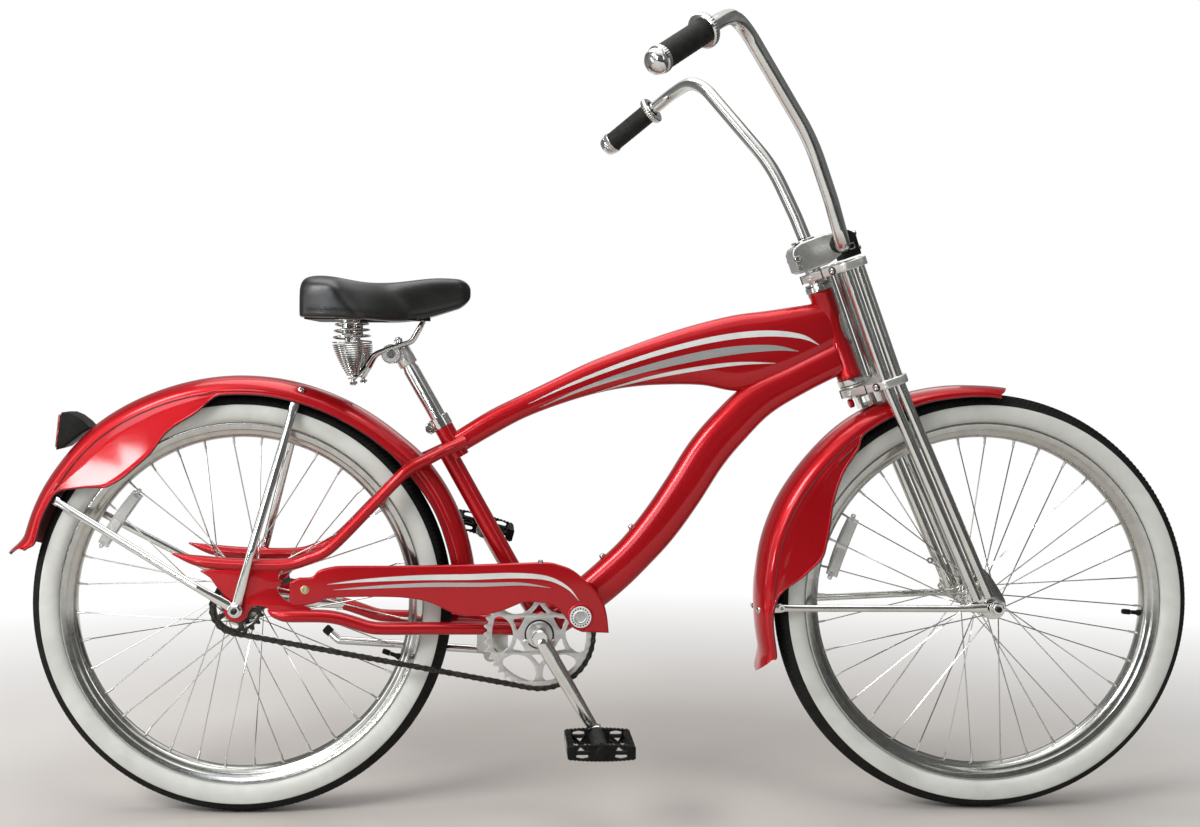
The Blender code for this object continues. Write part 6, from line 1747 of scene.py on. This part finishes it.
def thickened(shell, by):
    """A closed thin film from an open sheet."""
    verts, faces = shell
    count = len(verts)
    form = bmesh.new()
    made = [form.verts.new(v) for v in verts]
    for face in faces:
        form.faces.new([made[k] for k in face])
    bmesh.ops.recalc_face_normals(form, faces=form.faces)
    form.normal_update()
    form.verts.index_update()
    low = [v.co - v.normal * by for v in made]
    edges = [[v.index for v in edge.verts] for edge in form.edges if edge.is_boundary]
    form.free()
    under = [[count + k for k in reversed(face)] for face in faces]
    return verts + low, faces + under + [[a, b, count + b, count + a] for a, b in edges]


TANK_BANDS = [("white_stripe", [(452, 647.5), (520, 679), (600, 710), (680, 735), (760, 753), (830, 760),
                                (885, 755.5), (915, 742)], [0.4, 4.2, 6.8, 8.2, 9.4, 9.6, 7, 0.6]),
              ("silver_stripe", [(470, 642), (540, 672), (620, 698.5), (700, 719), (775, 732.5), (840, 737),
                                 (882, 732)], [0.4, 5, 9.6, 12.8, 13, 9, 0.6]),
              ("white_stripe", [(560, 666), (640, 688), (715, 703), (785, 712), (845, 713)],
               [0.4, 4.6, 6.6, 5.2, 0.6])]
GUARD_BANDS = [("white_stripe", [(140, 370), (200, 376), (280, 380), (360, 381), (430, 383), (480, 379),
                                 (512, 364), (530, 344)], [0.4, 4.8, 7.8, 9, 8.4, 6.6, 4, 0.4]),
               ("silver_stripe", [(150, 361.5), (220, 366), (300, 369), (380, 369), (440, 370), (486, 364)],
                [0.4, 4.6, 6.4, 6, 4.4, 0.4])]


def make_stripes():
    pieces = bpy.data.objects
    bpy.context.view_layer.update()
    spots = (("tank", TANK_BANDS, surface_tree(pieces["top_tube_look"], pieces["down_tube_look"])),
             ("guard", GUARD_BANDS, surface_tree(pieces["chain_guard_look"])))
    for name, bands, tree in spots:
        for sign in ((-1, 1) if name == "tank" else (-1,)):
            shape = Shape("white_stripe", "silver_stripe")
            for colour, points, widths in bands:
                sheet = laid(band(points, widths), tree, sign)
                shape.add(thickened(sheet, STRIPE_LIFT * 0.9), 0 if colour == "white_stripe" else 1)
            side = "left" if sign > 0 else "right"
            shape.make(f"{name}_stripes_{side}", "frame", "paint", sharp=60)


make_stripes()


# Floor, light and camera
CAMERA_PLACE = (392.3, -1999.9, 725.2)
CAMERA_YAW, CAMERA_PITCH, CAMERA_ROLL = 0.0209, 0.0076, 0.0016
FOCAL_PIXELS = 1251.68
OPTICAL_CENTRE = (516.72, 364.53)
PICTURE = (1200, 827)
SENSOR = 36.0


def white_for_view(look_nodes, look_links):
    """1 for camera, glossy and transmission rays, and 0 for the light that falls on the object."""
    path = look_nodes.new("ShaderNodeLightPath")
    total = path.outputs["Is Camera Ray"]
    for key in ("Is Glossy Ray", "Is Transmission Ray"):
        more = look_nodes.new("ShaderNodeMath")
        more.operation = "MAXIMUM"
        look_links.new(total, more.inputs[0])
        look_links.new(path.outputs[key], more.inputs[1])
        total = more.outputs["Value"]
    return total


def make_floor():
    look = Look("pale_floor", (0.60, 0.57, 0.53), 0.6)
    mesh = bpy.data.meshes.new("floor")
    mesh.from_pydata([(-9, -7, 0), (9, -7, 0), (9, 16, 0), (-9, 16, 0)], [], [(0, 1, 2, 3)])
    mesh.materials.append(look.material)
    floor = bpy.data.objects.new("floor", mesh)
    bpy.context.scene.collection.objects.link(floor)
    look.vary(look.noise(1.6, 5), 0.3, 0.7, (0.50, 0.462, 0.425), (0.56, 0.525, 0.49))
    look.vary(look.noise(3, 3), 0.3, 0.7, 0.45, 0.65)
    mapping = look.node("Mapping", Scale=(0.60, 0.85, 0))
    look.links.new(look.place, mapping.inputs["Vector"])
    distance = look.nodes.new("ShaderNodeVectorMath")
    distance.operation = "LENGTH"
    look.links.new(mapping.outputs["Vector"], distance.inputs[0])
    fade = look.ramp(distance.outputs["Value"], 0.45, 1.55, 0.0, 1.0)
    seen = look.nodes.new("ShaderNodeMath")
    seen.operation = "MULTIPLY"
    look.links.new(fade, seen.inputs[0])
    look.links.new(white_for_view(look.nodes, look.links), seen.inputs[1])
    glow = look.node("Emission", Strength=1)
    mix = look.nodes.new("ShaderNodeMixShader")
    look.links.new(seen.outputs["Value"], mix.inputs["Fac"])
    look.links.new(look.shader.outputs["BSDF"], mix.inputs[1])
    look.links.new(glow.outputs["Emission"], mix.inputs[2])
    look.links.new(mix.outputs["Shader"], look.nodes["Material Output"].inputs["Surface"])


def make_world():
    world = bpy.data.worlds.new("studio")
    world.use_nodes = True
    nodes, links = world.node_tree.nodes, world.node_tree.links
    seen = nodes["Background"]
    seen.inputs["Color"].default_value = (1.0, 1.0, 1.0, 1.0)
    seen.inputs["Strength"].default_value = 1.0
    light = nodes.new("ShaderNodeBackground")
    light.inputs["Color"].default_value = (0.97, 0.985, 1.0, 1.0)
    light.inputs["Strength"].default_value = 0.31
    mix = nodes.new("ShaderNodeMixShader")
    links.new(white_for_view(nodes, links), mix.inputs["Fac"])
    links.new(light.outputs["Background"], mix.inputs[1])
    links.new(seen.outputs["Background"], mix.inputs[2])
    links.new(mix.outputs["Shader"], nodes["World Output"].inputs["Surface"])
    bpy.context.scene.world = world


def aimed(thing, place, target):
    thing.location = place
    thing.rotation_euler = (Vector(target) - Vector(place)).to_track_quat("-Z", "Y").to_euler()
    bpy.context.scene.collection.objects.link(thing)


def make_lamp(name, place, target, size, watts):
    lamp = bpy.data.lights.new(name, "AREA")
    lamp.shape = "RECTANGLE"
    lamp.size, lamp.size_y = size
    lamp.energy = watts
    aimed(bpy.data.objects.new(name, lamp), place, target)


def make_panel(name, place, target, size, dark, light, stripes=0.6, tint=(1.0, 1.0, 1.0)):
    """A soft grey panel beside the set, seen only in the metal and the paint, as a studio's cards are."""
    look = Look(name, (dark,) * 3, 0.9)
    glow = look.node("Emission")
    shade = look.ramp(look.noise(stripes, 2, stretch=(1, 0.25, 1)), 0.35, 0.65,
                      tuple(dark * part for part in tint), tuple(light * part for part in tint))
    look.links.new(shade, glow.inputs["Color"])
    look.links.new(glow.outputs["Emission"], look.nodes["Material Output"].inputs["Surface"])
    wide, high = size
    mesh = bpy.data.meshes.new(name)
    mesh.from_pydata([(-wide / 2, -high / 2, 0), (wide / 2, -high / 2, 0), (wide / 2, high / 2, 0),
                      (-wide / 2, high / 2, 0)], [], [(0, 1, 2, 3)])
    mesh.materials.append(look.material)
    panel = bpy.data.objects.new(name, mesh)
    aimed(panel, place, target)
    for key in ("visible_camera", "visible_diffuse", "visible_shadow", "visible_transmission"):
        setattr(panel, key, False)


def make_studio():
    make_floor()
    make_world()
    make_lamp("key_lamp", (-2.5, -1.9, 2.5), (0.0, 0.0, 0.6), (1.6, 1.2), 104.0)
    make_lamp("fill_lamp", (2.6, -2.4, 1.7), (0.2, 0.0, 0.6), (1.3, 1.3), 16.0)
    make_lamp("top_lamp", (-0.3, -0.2, 3.4), (0.0, 0.0, 0.4), (3.4, 1.8), 60.0)
    make_lamp("back_lamp", (0.6, 2.9, 2.3), (0.0, 0.0, 0.6), (2.2, 0.9), 7.0)
    make_panel("front_card", (0.95, -4.4, 1.4), (0.95, 0.0, 1.4), (7.1, 4.8), 0.08, 0.19)
    make_panel("low_card", (0.3, -2.3, 0.02), (0.3, -2.2, 1.0), (8.0, 4.0), 0.03, 0.10)
    make_panel("left_card", (-1.70, 1.15, 1.4), (0.0, 1.15, 1.4), (4.7, 3.2), 0.14, 0.34)
    make_panel("right_card", (1.70, 0.80, 2.05), (0.0, 0.80, 2.05), (5.4, 2.2), 0.10, 0.30)
    make_panel("low_right_card", (1.70, 0.80, 0.35), (0.0, 0.80, 0.35), (5.4, 1.2), 0.04, 0.14)
    make_panel("back_card", (0.0, 4.6, 2.2), (0.0, 0.0, 2.2), (7.0, 4.6), 0.22, 0.46)
    make_panel("rear_pane", (-1.93, -3.1, 0.345), (-0.8, 0.0, 0.55), (0.25, 0.20), 36.0, 40.0)
    make_panel("fore_pane", (-1.735, -3.1, 0.42), (-0.75, 0.0, 0.57), (0.11, 0.24), 36.0, 40.0)
    make_panel("saddle_card", (-1.55, -3.0, 1.38), (-0.43, 0.0, 0.82), (1.15, 0.95), 4.5, 5.5, 2.0,
               (0.90, 0.97, 1.07))
    make_panel("side_window_card", (-1.60, -0.55, 0.60), (0.0, 0.0, 0.60), (0.34, 0.80), 2.4, 3.0)


def make_camera():
    """The camera fitted to the photograph's wheels, axles and grips, with its centre off the middle."""
    forward = Vector((math.sin(CAMERA_YAW) * math.cos(CAMERA_PITCH),
                      math.cos(CAMERA_YAW) * math.cos(CAMERA_PITCH), -math.sin(CAMERA_PITCH)))
    level = forward.cross(UP).normalized()
    upward = level.cross(forward)
    right = level * math.cos(CAMERA_ROLL) + upward * math.sin(CAMERA_ROLL)
    camera = bpy.data.cameras.new("camera")
    camera.sensor_width = SENSOR
    camera.lens = FOCAL_PIXELS * SENSOR / PICTURE[0]
    camera.shift_x = -(OPTICAL_CENTRE[0] - PICTURE[0] / 2) / PICTURE[0]
    camera.shift_y = (OPTICAL_CENTRE[1] - PICTURE[1] / 2) / PICTURE[0]
    camera.clip_start = 0.01
    holder = bpy.data.objects.new("camera", camera)
    holder.matrix_world = axes_matrix(right, right.cross(forward), -forward, at(*CAMERA_PLACE) * MM)
    bpy.context.scene.collection.objects.link(holder)
    bpy.context.scene.camera = holder


make_studio()
make_camera()
bpy.context.scene.view_settings.view_transform = "Standard"
